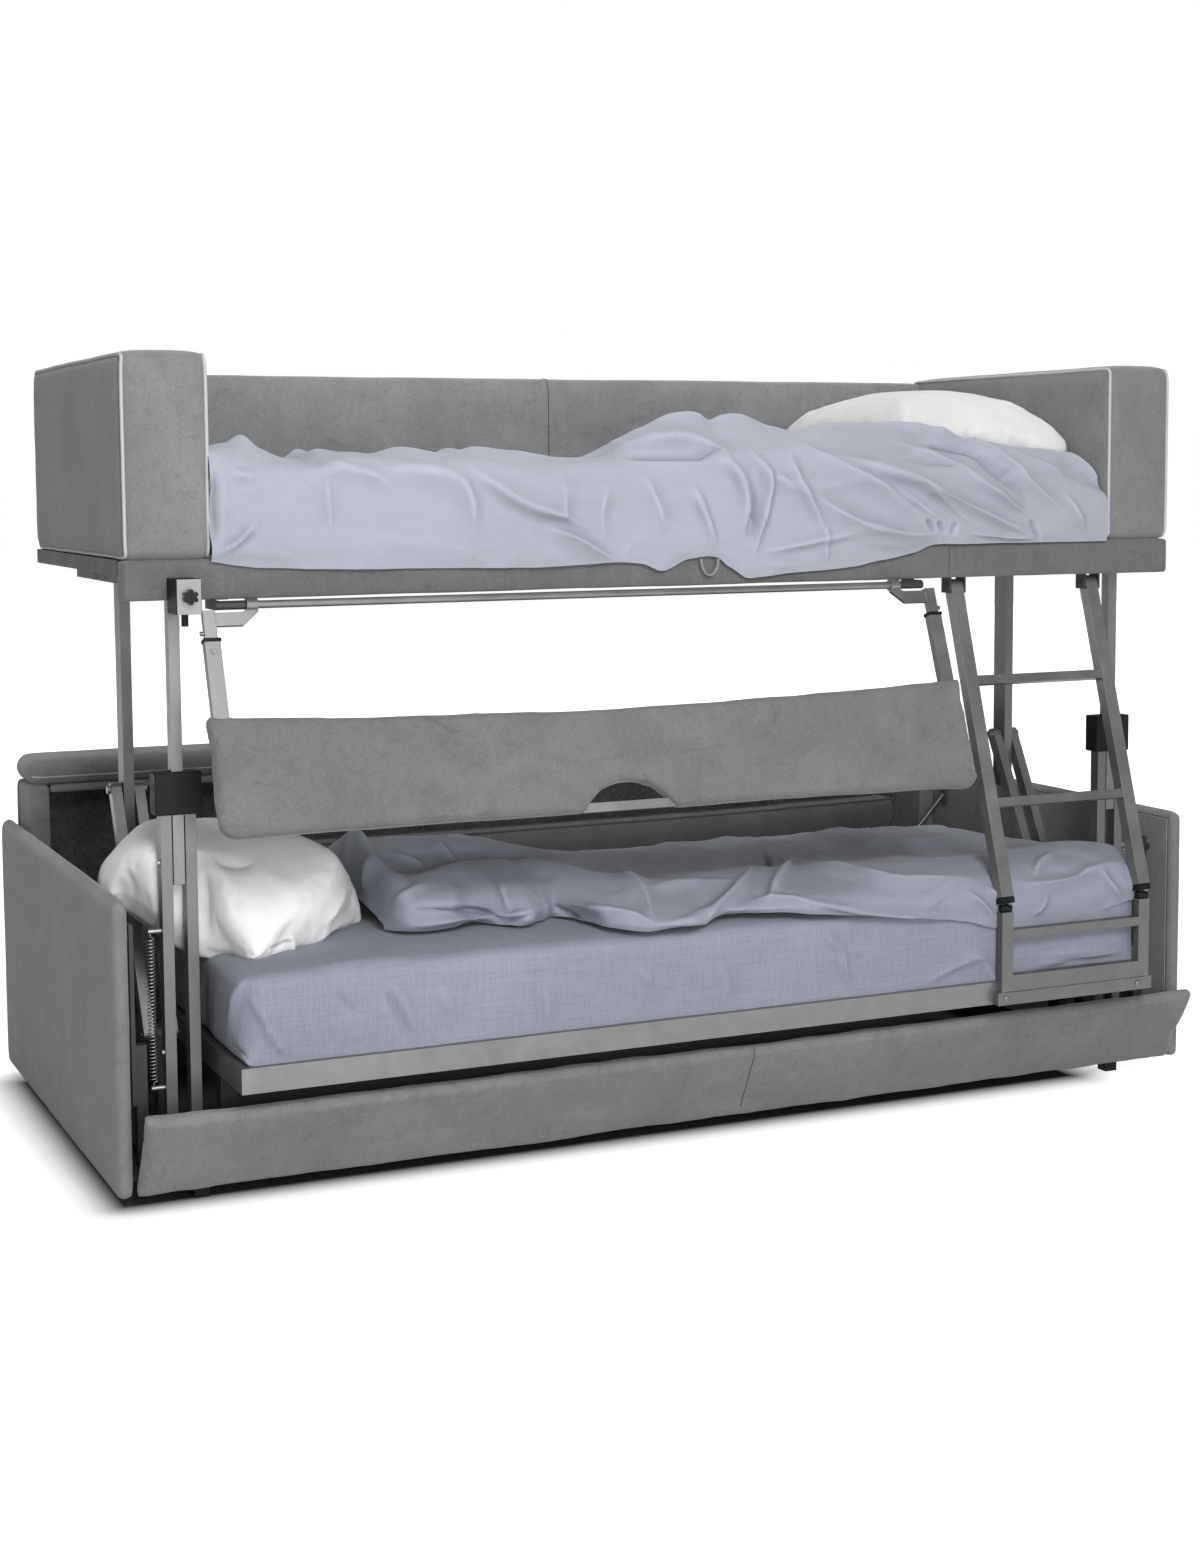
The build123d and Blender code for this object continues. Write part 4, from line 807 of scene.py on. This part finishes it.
# Folds: a line in the photograph's pixels, its height before FOLD_GAIN in millimetres, and how many
# pixels it reaches on either side
upper_folds = [
    ([(316, 460), (350, 470), (374, 474), (398, 489)], 7, 10, 16),
    ([(369, 468), (422, 471), (454, 475), (468, 489), (474, 516), (476, 545)], 9, 14, 20),
    ([(459, 460), (490, 484), (524, 506), (560, 516), (600, 532)], 11, 22, 12),
    ([(540, 525), (577, 537), (596, 549), (622, 563)], 10, 8, 22),
    ([(216, 462), (213, 500), (214, 552)], -10, 10, 12), ([(258, 521), (241, 540), (219, 554)], 6, 8, 8),
    ([(226, 470), (240, 474), (262, 476)], 4, 6, 12), ([(325, 470), (328, 500), (332, 535)], 4, 14, 14),
    ([(603, 455), (632, 446), (666, 439), (685, 439), (715, 452), (734, 467), (741, 492)], 12, 18, 14),
    ([(615, 458), (660, 456), (700, 457), (720, 453)], -10, 5, 6),
    ([(700, 456), (728, 466), (741, 480), (746, 506), (741, 540)], 10, 12, 10),
    ([(752, 474), (754, 506), (750, 545)], -11, 6, 6),
    ([(741, 440), (756, 460), (770, 477), (763, 506), (758, 535), (753, 562)], 13, 10, 12),
    ([(770, 476), (782, 477), (797, 491)], 5, 6, 10),
    ([(785, 444), (797, 477), (809, 501), (821, 523), (825, 540)], 8, 10, 10),
    ([(803, 484), (826, 504), (850, 518), (879, 530), (920, 535), (950, 532)], 11, 14, 24),
    ([(758, 438), (785, 444), (819, 457), (862, 474), (920, 506), (960, 530)], 9, 10, 18),
    ([(816, 455), (843, 458), (872, 467), (904, 478), (925, 485), (945, 505), (985, 530)], 9, 12, 8),
    ([(753, 554), (824, 540), (867, 530)], 5, 8, 8), ([(825, 520), (827, 566)], 4, 5, 5),
    ([(880, 440), (892, 440), (907, 446), (927, 456), (968, 477), (1002, 497), (1035, 520)], 9, 14, 12),
    ([(860, 421), (880, 420), (911, 422), (941, 430), (972, 442), (994, 454), (1011, 471), (1023, 481),
      (1043, 495), (1064, 511), (1081, 530)], 12, 16, 14),
    ([(909, 446), (970, 450), (994, 471), (1021, 491), (1027, 503), (1023, 512)], -10, 7, 7),
    ([(860, 470), (880, 473), (911, 477), (937, 491), (966, 505), (1002, 522), (1033, 536), (1053, 542)],
     9, 12, 10),
    ([(880, 481), (900, 495), (921, 509), (930, 520)], -6, 6, 8),
    ([(1002, 442), (1023, 458), (1053, 471), (1072, 484)], 6, 8, 10),
    ([(1047, 446), (1074, 458), (1094, 473), (1102, 495)], 6, 8, 8),
    ([(927, 518), (935, 532)], -6, 4, 4), ([(938, 520), (945, 534)], -6, 4, 4),
    ([(957, 520), (951, 536)], -6, 4, 4),
    ([(1031, 517), (1035, 532), (1041, 541)], -6, 5, 5), ([(965, 532), (1000, 537), (1040, 538)], 5, 6, 6),
    ([(560, 470), (566, 500), (560, 530)], 4, 16, 16), ([(640, 470), (655, 500), (668, 535)], 6, 14, 16),
    ([(690, 480), (705, 515), (716, 548)], 7, 8, 10), ([(610, 480), (600, 510), (606, 545)], 4, 14, 14),
    ([(985, 480), (1010, 505), (1030, 515)], 5, 8, 8), ([(1060, 490), (1076, 510), (1086, 532)], 5, 8, 8),
]


front_depth = 110


def upper_seen(points, ways):
    """Full at the front, gone over the top's back half."""
    return np.clip((front_depth - depths(points)) / FADE, 0, 1)


folded(upper_sheet, upper_folds, upper_seen)
upper_top_folds = [
    ([(-860, 60), (-700, 240), (-520, 300)], 16, 50, 40),
    ([(-540, 110), (-380, 260), (-150, 330)], 18, 60, 40),
    ([(-60, 90), (60, 240), (180, 420)], 26, 60, 70), ([(-900, 380), (-600, 430), (-260, 520)], 14, 50, 50),
    ([(150, 120), (260, 260), (300, 420)], 16, 50, 60), ([(-350, 150), (-240, 300), (-60, 480)], 14, 40, 50),
]


def top_folds(obj, lines, start, end):
    """Folds drawn in plan in millimetres, on the part of the cloth between two depths."""
    points = coords_of(obj)
    u, v = points[:, 0] / MM, depths(points)
    total = sum(fold(u, v, line, height, above, below) for line, height, above, below in lines)
    fade = np.clip((v - start) / FADE, 0, 1) * np.clip((end - v) / 40, 0, 1)
    points[:, 2] += total * fade * MM
    set_coords(obj, points)


top_folds(upper_sheet, upper_top_folds, front_depth, 620)
rumple(upper_sheet, 2.2, 7.0, 80.0, 3)
creased(upper_sheet, 2.2, (4.5, 7.0, 9.0), 81.0)
settle(upper_sheet)

# Lower cover: X, (y, z) from hem to crest, and the back edge where it isn't the usual one
lower_shape = [
    (-612, [(92, 434), (84, 440), (100, 446), (160, 452), (220, 462), (320, 480)], (620, 444)),
    (-600, [(44, 438), (33, 450), (52, 486), (150, 520), (220, 545), (320, 588)], (620, 450)),
    (-560, [(22, 438), (8, 458), (30, 500), (110, 526), (200, 505), (320, 592)]),
    (-500, [(26, 438), (10, 460), (34, 504), (130, 528), (210, 494), (318, 594)]),
    (-456, [(57, 438), (40, 456), (52, 496), (138, 527), (214, 494), (314, 592)]),
    (-410, [(20, 438), (4, 458), (28, 502), (145, 527), (222, 496), (306, 588)]),
    (-368, [(-8, 438), (-24, 456), (6, 498), (148, 529), (228, 498), (300, 583)]),
    (-320, [(30, 438), (14, 456), (36, 492), (144, 526), (220, 494), (300, 574)]),
    (-289, [(58, 438), (42, 454), (54, 488), (140, 527), (215, 494), (300, 565)]),
    (-235, [(-92, 438), (-104, 452), (-66, 478), (100, 527), (200, 486), (300, 549)]),
    (-165, [(-131, 430), (-140, 446), (-98, 468), (40, 519), (170, 478), (300, 531)]),
    (-100, [(-128, 436), (-138, 450), (-100, 466), (20, 506), (150, 474), (300, 517)]),
    (-47, [(-94, 438), (-108, 450), (-74, 464), (30, 500), (160, 474), (300, 511)]),
    (30, [(-84, 438), (-98, 450), (-60, 468), (60, 500), (170, 474), (300, 510)]),
    (100, [(-112, 438), (-122, 452), (-88, 470), (60, 499), (170, 473), (300, 508)]),
    (170, [(-132, 434), (-140, 450), (-108, 474), (40, 499), (170, 472), (300, 503)]),
    (250, [(-133, 425), (-141, 446), (-108, 478), (30, 501), (170, 470), (300, 492)]),
    (300, [(-133, 420), (-141, 446), (-108, 480), (30, 502), (170, 471), (300, 502)]),
    (366, [(-133, 413), (-141, 444), (-108, 481), (25, 503), (165, 471), (300, 501)]),
    (468, [(-133, 400), (-141, 440), (-108, 480), (20, 503), (160, 471), (300, 491)]),
    (510, [(-133, 391), (-141, 436), (-108, 478), (15, 500), (155, 470), (300, 510)]),
    (589, [(-133, 370), (-139, 425), (-108, 472), (10, 496), (150, 468), (300, 492)]),
    (643, [(-133, 366), (-139, 424), (-108, 474), (5, 497), (145, 469), (300, 490)]),
    (749, [(-133, 364), (-139, 425), (-108, 476), (0, 500), (140, 472), (300, 487)]),
    (852, [(-133, 386), (-139, 432), (-106, 480), (0, 508), (140, 476), (300, 463)], (630, 448)),
    (919, [(-133, 400), (-140, 436), (-106, 480), (0, 504), (140, 476), (280, 460)], (630, 446)),
    (950, [(-126, 405), (-138, 434), (-106, 474), (0, 496), (140, 470), (280, 455)], (630, 444)),
    (972, [(-112, 402), (-122, 420), (-98, 452), (0, 474), (140, 456), (280, 444)], (620, 436)),
    (984, [(-92, 398), (-98, 404), (-82, 420), (0, 432), (140, 424), (280, 416)], (620, 412)),
]


def lower_section(x, corners, back=(630, 450)):
    """The cover's cut at one X, ended at its back edge."""
    return x, [*corners, back]


lower_sections = [lower_section(*row) for row in lower_shape]
lower_cover = draped("lower_cover", "lower_blanket", lower_sections, 460, 170)
lower_folds = [
    ([(367, 876), (385, 873), (409, 882), (442, 875), (484, 868), (534, 866), (574, 866), (621, 872)],
     8, 8, 14),
    ([(404, 914), (417, 907), (464, 908), (499, 917), (517, 921), (551, 901)], -9, 6, 7),
    ([(402, 928), (440, 922), (475, 915), (520, 916), (548, 905), (560, 902)], 8, 6, 8),
    ([(385, 850), (412, 862), (430, 875)], 6, 7, 9), ([(430, 835), (445, 850), (455, 866)], 5, 7, 9),
    ([(363, 894), (368, 875), (372, 850)], 6, 9, 9), ([(392, 905), (410, 893), (430, 886)], 5, 8, 10),
    ([(551, 901), (560, 910), (580, 921)], -8, 5, 6),
    ([(553, 900), (590, 908), (640, 918), (662, 927)], 8, 8, 10),
    ([(610, 862), (628, 876), (645, 892), (655, 925)], 6, 14, 12),
    ([(500, 880), (505, 900), (512, 914)], 5, 10, 10),
    ([(757, 860), (743, 884), (719, 908), (690, 920), (657, 928)], 10, 12, 9),
    ([(640, 888), (680, 886), (720, 884), (745, 880)], 6, 8, 10),
    ([(781, 896), (833, 908), (895, 915), (940, 918), (996, 928)], 6, 8, 4),
    ([(766, 905), (778, 880), (790, 863), (800, 858)], 8, 8, 10),
    ([(778, 863), (833, 867), (881, 880), (902, 882), (950, 879), (988, 881)], 9, 12, 12),
    ([(745, 900), (790, 898), (815, 904)], 5, 6, 8), ([(760, 850), (770, 858), (766, 868)], -8, 6, 6),
    ([(1012, 882), (1039, 884), (1070, 880), (1098, 867), (1129, 862)], 8, 10, 14),
    ([(985, 885), (1000, 900), (1006, 918)], 6, 8, 8), ([(965, 890), (985, 905), (998, 922)], 5, 7, 7),
    ([(1048, 890), (1044, 905), (1030, 918)], 5, 8, 8), ([(1098, 868), (1110, 885), (1124, 898)], 6, 8, 8),
    ([(850, 833), (862, 842), (900, 845), (945, 842)], 7, 8, 10),
    ([(1060, 850), (1040, 862), (1032, 878)], 5, 8, 8),
    ([(700, 866), (740, 864), (757, 858)], 5, 8, 8),
]


def lower_seen(points, ways):
    """Full on the part that the photograph shows."""
    return np.clip((360 - depths(points)) / FADE, 0, 1)


folded(lower_cover, lower_folds, lower_seen)
lower_top_folds = [
    ([(-500, 380), (-300, 440), (-60, 520)], 20, 60, 60), ([(0, 380), (240, 440), (480, 560)], 14, 50, 60),
    ([(420, 360), (640, 430), (880, 500)], 14, 50, 60),
]
top_folds(lower_cover, lower_top_folds, 340, 600)
rumple(lower_cover, 2.4, 7.0, 90.0, 3)
creased(lower_cover, 2.4, (6.0, 8.0, 10.0), 91.0)
settle(lower_cover)

# Mattresses in their fitted sheets
mattress = soft_copy("lower_mattress", 12.0, 5)
puff(mattress, 5.0, 90.0)
points = coords_of(mattress)
(x0, x1), (y0, y1), (z0, z1) = box_of("lower_mattress")
tuck_top, tuck_band, tuck_depth = 34, 24, 40
tucked = np.clip((z0 + tuck_top - points[:, 2] / MM) / tuck_band, 0, 1) * (depths(points) < y0 + tuck_depth)
points[:, 1] += tucked * ((y0 + 1 + SHIFT) * MM - points[:, 1])
set_coords(mattress, points)
mattress = finer(mattress)
mattress_folds = [
    ([(207, 964), (203, 997), (205, 1036), (225, 1054)], -8, 8, 10),
    ([(247, 975), (234, 997), (226, 1052)], 9, 8, 12),
    ([(216, 966), (212, 986), (210, 1008), (212, 1034)], -7, 6, 6),
    ([(231, 1036), (234, 1049), (251, 1060)], -6, 6, 8),
    ([(260, 1025), (277, 1045), (290, 1060)], 6, 8, 8), ([(329, 1018), (342, 1036)], 3, 6, 6),
    ([(847, 946), (843, 963), (850, 988)], 6, 6, 8), ([(822, 932), (847, 953)], 4, 6, 8),
    ([(995, 953), (950, 966), (922, 987)], 5, 8, 10), ([(440, 985), (452, 1015)], 3, 10, 10),
    ([(1030, 958), (1080, 950), (1115, 946)], 5, 4, 6), ([(1040, 962), (1100, 957), (1130, 955)], -4, 4, 5),
    ([(300, 968), (360, 960), (420, 955)], 3, 8, 10), ([(640, 960), (652, 990)], 3, 12, 12),
    ([(236, 985), (228, 1010), (224, 1040), (229, 1056)], -7, 6, 6),
    ([(246, 990), (260, 1012), (290, 1058)], 5, 8, 9),
    ([(262, 1028), (276, 1044), (289, 1061)], -4, 5, 6), ([(330, 990), (345, 1000), (360, 1020)], -3, 8, 10),
    ([(380, 982), (400, 1015), (408, 1046)], -4, 8, 8), ([(392, 980), (410, 1012), (418, 1044)], 4, 8, 8),
    ([(540, 978), (548, 1005), (545, 1028)], 3, 12, 12), ([(720, 958), (728, 985), (724, 1005)], 3, 12, 12),
    ([(1020, 968), (1060, 960), (1100, 953), (1128, 951)], 6, 5, 6),
    ([(1024, 976), (1070, 970), (1120, 962)], -5, 4, 5),
    ([(1000, 990), (985, 960), (965, 945)], 4, 8, 8),
]


def front_facing(points, ways):
    """Full on faces toward the front, fading as they turn away."""
    return np.clip(-ways[:, 1] * 1.6 + 0.3, 0, 1)


folded(mattress, mattress_folds, front_facing)
rumple(mattress, 2.0, 5.0, 100.0, 3)
settle(mattress)
top_mattress = soft_copy("upper_mattress", 10.0, 8)
rumple(top_mattress, 2.0, 5.0, 110.0)
settle(top_mattress)

# Pillows
def plump(obj, rim, least):
    """Thins the piece down to its lower edge near its ends and sides, as a filled case does."""
    points = coords_of(obj)
    low, high = points.min(0), points.max(0)
    inside = np.minimum(points - low, high - points) / (high - low) / rim
    reach = np.clip(np.minimum(inside[:, 0], inside[:, 1]), 0, 1)
    thick = least + (1 - least) * np.sqrt(1 - (1 - reach) ** 2)
    points[:, 2] = low[2] + (points[:, 2] - low[2]) * thick
    set_coords(obj, points)
    return obj


def filled_pillow(node, cap, seed):
    """A stuffed pillowcase, blown up and creased."""
    pillow = soft_copy(node, 11.0, 14)
    plump(pillow, 0.22, 0.45)
    inflate(pillow, 4.0, cap, 0.04, 2.0)
    rumple(pillow, 2.0, 5.0, seed, 2)
    creased(pillow, 2.2, (7.0, 5.0, 7.0), seed)
    return finer(pillow)


settle(filled_pillow("upper_pillow", 14.0, 120.0))
pillow = filled_pillow("lower_pillow", 12.0, 130.0)
points = coords_of(pillow)
corner_x, corner_length, corner_z, corner_lift = -900, 200, 430, 50
outer = np.clip((corner_x - points[:, 0] / MM) / corner_length, 0, 1)
upper = np.clip((points[:, 2] / MM - corner_z) / FADE, 0, 1)
points[:, 2] += outer * upper * corner_lift * MM
set_coords(pillow, points)
pillow_folds = [
    ([(268, 950), (282, 946), (296, 938)], -5, 5, 6), ([(288, 934), (294, 944), (288, 954)], 4, 5, 5),
    ([(348, 880), (338, 905), (322, 930)], 4, 8, 10), ([(205, 850), (230, 866), (262, 862)], -5, 14, 16),
]
folded(pillow, pillow_folds, front_facing)
# The lower pillow's lighter cotton is painted light
settle(pillow, PAINTED_LIGHT_CASE)


# Loop handle
def webbing_loop(name, path, across, thick, node):
    """A band of webbing along a path of (x, z), with its width along Y."""
    line = eased(path, 3)
    steps = np.gradient(line, axis=0)
    steps /= np.linalg.norm(steps, axis=1, keepdims=True)
    side = np.stack([-steps[:, 1], steps[:, 0]], 1)
    front, back = across
    ring = [(front, 0.4), (front + 1, 0.9), ((front + back) / 2, 1.0), (back - 1, 0.9), (back, 0.4),
            (back, -0.4), (back - 1, -0.9), ((front + back) / 2, -1.0), (front + 1, -0.9), (front, -0.4)]
    size = len(ring)
    verts = [place(x + sx * lift * thick / 2, y, z + sz * lift * thick / 2)
             for (x, z), (sx, sz) in zip(line, side) for y, lift in ring]
    faces = [(i * size + j, i * size + (j + 1) % size, (i + 1) * size + (j + 1) % size, (i + 1) * size + j)
             for i in range(len(line) - 1) for j in range(size)]
    faces += [tuple(range(size)), tuple(range((len(line) - 1) * size, len(line) * size))]
    obj = listed(name, verts, faces)
    HOME[obj.name] = node
    build = bmesh.new()
    build.from_mesh(obj.data)
    bmesh.ops.recalc_face_normals(build, faces=build.faces)
    build.to_mesh(obj.data)
    build.free()
    settle(obj, WEBBING)


loop_path = [(-4, 1110), (-3, 1100), (1, 1088), (8, 1079), (19, 1078), (27, 1086), (32, 1098), (33, 1110)]
webbing_loop("loop_handle_webbing", loop_path, (-15.0, -1.0), 3.0, "loop_handle")


# Feet of the ladder on its base posts
def small_piece(name, build, node, material):
    """Puts a small mesh in the scene with its finish and body."""
    mesh = bpy.data.meshes.new(name)
    build.to_mesh(mesh)
    build.free()
    obj = linked(name, mesh)
    mesh.materials.append(material)
    smooth_shaded(obj)
    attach(obj, BODY[node])


pad_front, pad_back, pad_low, pad_high = -157.5, -140, 404.3, 418
plate_face, bolt_z, groove_z = -158, 231.0, 244


def foot_pad(name, x0, x1):
    """Black rubber foot between a stile and the post under it."""
    build = bmesh.new()
    bmesh.ops.create_cube(build, size=1.0)
    bmesh.ops.bevel(build, geom=build.edges[:], offset=0.12, segments=3, affect="EDGES")
    low, high = place(x0, pad_front, pad_low), place(x1, pad_back, pad_high)
    for vert in build.verts:
        vert.co = [low[i] + (vert.co[i] + 0.5) * (high[i] - low[i]) for i in range(3)]
    small_piece(name, build, "ladder_knuckles", LOOKS["plastic"])


foot_pad("ladder_foot_left", 587.0, 611.0)
foot_pad("ladder_foot_right", 918.0, 942.0)


def bolt_head(name, x, radius=6.5, rise=3.5, around=24, steps=12):
    """Low domed bolt head on the front of the ladder's foot plate, with a flat back."""
    build = bmesh.new()
    middle = place(x, plate_face - 0.5, bolt_z)
    rings = []
    for step in range(steps + 1):
        slope = math.pi * step / steps
        wide, deep = math.sin(slope) * radius, max(-math.cos(slope), -0.1) * -rise
        turns = [math.tau * number / around for number in range(around if 0 < step < steps else 1)]
        spots = [Vector((math.cos(turn) * wide, deep, math.sin(turn) * wide)) for turn in turns]
        rings.append([build.verts.new(middle + spot * MM) for spot in spots])
    for one, two in zip(rings, rings[1:]):
        for i in range(around):
            corners = (one[i % len(one)], one[(i + 1) % len(one)], two[(i + 1) % len(two)], two[i % len(two)])
            build.faces.new(list(dict.fromkeys(corners)))
    bmesh.ops.recalc_face_normals(build, faces=build.faces)
    small_piece(name, build, "ladder_base_plate", LOOKS["spring_steel"])


bolt_head("foot_plate_bolt_left", 599.0)
bolt_head("foot_plate_bolt_right", 918.0)
plate_groove = [place(x, plate_face, groove_z) for x in (596, 933)]
line_on("foot_plate_groove", NODES["ladder_base_plate"], plate_groove, 0.9, PAINTED_SEAM_SHADOW, sink=0.35)


# Floor, light and camera
# Boxes of painted shadow on the floor under the sofa and under its ends, as middles and half sizes in metres,
# and the distance over which the painted shadow fades out past them
PAINTED_SHADOW_SOFA = ((-0.12, 0.045), (1.0, 0.455))
PAINTED_SHADOW_ENDS = ((-0.03, 0.16), (1.07, 0.36))
PAINTED_SHADOW_EDGE = 0.115


def past_box(tree, coords, middle, half):
    """How far a point of the floor lies outside a box."""
    steps = (("SUBTRACT", middle), ("ABSOLUTE", None), ("SUBTRACT", half), ("MAXIMUM", (0.0, 0.0)))
    for operation, values in steps:
        node = tree.nodes.new("ShaderNodeVectorMath")
        node.operation = operation
        tree.links.new(coords, node.inputs[0])
        if values:
            node.inputs[1].default_value = (*values, 0.0)
        coords = node.outputs["Vector"]
    return length_of(tree, coords)


def floor():
    """White floor that keeps the object's shadow, with painted shadow close under the object: a darker colour
    and no glow there.
    """
    size = 14.0
    corners = [(-size, -size, 0), (size, -size, 0), (size, size, 0), (-size, size, 0)]
    obj = listed("floor", corners, [(0, 1, 2, 3)])
    mat, tree, shader, coords = new_material("pale_floor_painted_shadow")
    set_all(shader, Roughness=0.95, Specular_IOR_Level=0.0)
    rays = tree.nodes.new("ShaderNodeLightPath")
    direct = times(tree, rays.outputs["Is Camera Ray"], rays.outputs["Is Glossy Ray"], "MAXIMUM")
    direct = times(tree, direct, rays.outputs["Is Transmission Ray"], "MAXIMUM")
    far = band(tree, length_of(tree, spread(tree, coords, (1.0, 1.0, 0.0))), 1.5, 4.0, 0.9, 1.2)
    # Painted shadow: near and under the boxes the floor's colour falls to 0.12 of itself and its glow to none
    nearest = times(tree, past_box(tree, coords, *PAINTED_SHADOW_SOFA), past_box(tree, coords, *PAINTED_SHADOW_ENDS), "MINIMUM")
    outside = band(tree, nearest, 0.0, PAINTED_SHADOW_EDGE, 0.0, 1.0)
    mottle = band(tree, clouds(tree, coords, 3.0, 2.0), 0.0, 1.0, 0.99, 1.01)
    tinted(tree, shader, (0.58, 0.58, 0.58), times(tree, mottle, band(tree, outside, 0.0, 0.5, 0.12, 1.0)))
    glow = times(tree, direct, times(tree, far, outside))
    shader.inputs["Emission Color"].default_value = (1, 1, 1, 1)
    tree.links.new(glow, shader.inputs["Emission Strength"])
    obj.data.materials.append(mat)


def sky():
    """White studio surround: full to the camera, dimmer as light."""
    world = bpy.data.worlds.new("studio")
    SCENE.world = world
    world.use_nodes = True
    tree = world.node_tree
    back = tree.nodes["Background"]
    back.inputs["Color"].default_value = (1, 1, 1, 1)
    rays = tree.nodes.new("ShaderNodeLightPath")
    direct = times(tree, rays.outputs["Is Camera Ray"], rays.outputs["Is Transmission Ray"], "MAXIMUM")
    tree.links.new(band(tree, direct, 0.0, 1.0, 0.42, 1.0), back.inputs["Strength"])


def lamp(name, spot, target, size, power):
    """A round soft lamp that faces its target."""
    data = bpy.data.lights.new(name, "AREA")
    data.shape = "DISK"
    data.size = size
    data.energy = power
    obj = linked(name, data)
    obj.location = spot
    obj.rotation_euler = (Vector(target) - Vector(spot)).to_track_quat("-Z", "Y").to_euler()


floor()
sky()
lamp("key", (-0.9, -4.4, 3.3), (-0.1, 0.0, 1.1), 1.7, 118.0)
lamp("low_fill", (-1.0, -4.1, 0.9), (-0.5, 0.0, 0.7), 1.4, 52.0)
lamp("rim", (0.9, 1.7, 4.8), (0.0, 0.0, 0.8), 3.2, 80.0)
camera()
SCENE.view_settings.view_transform = "Standard"
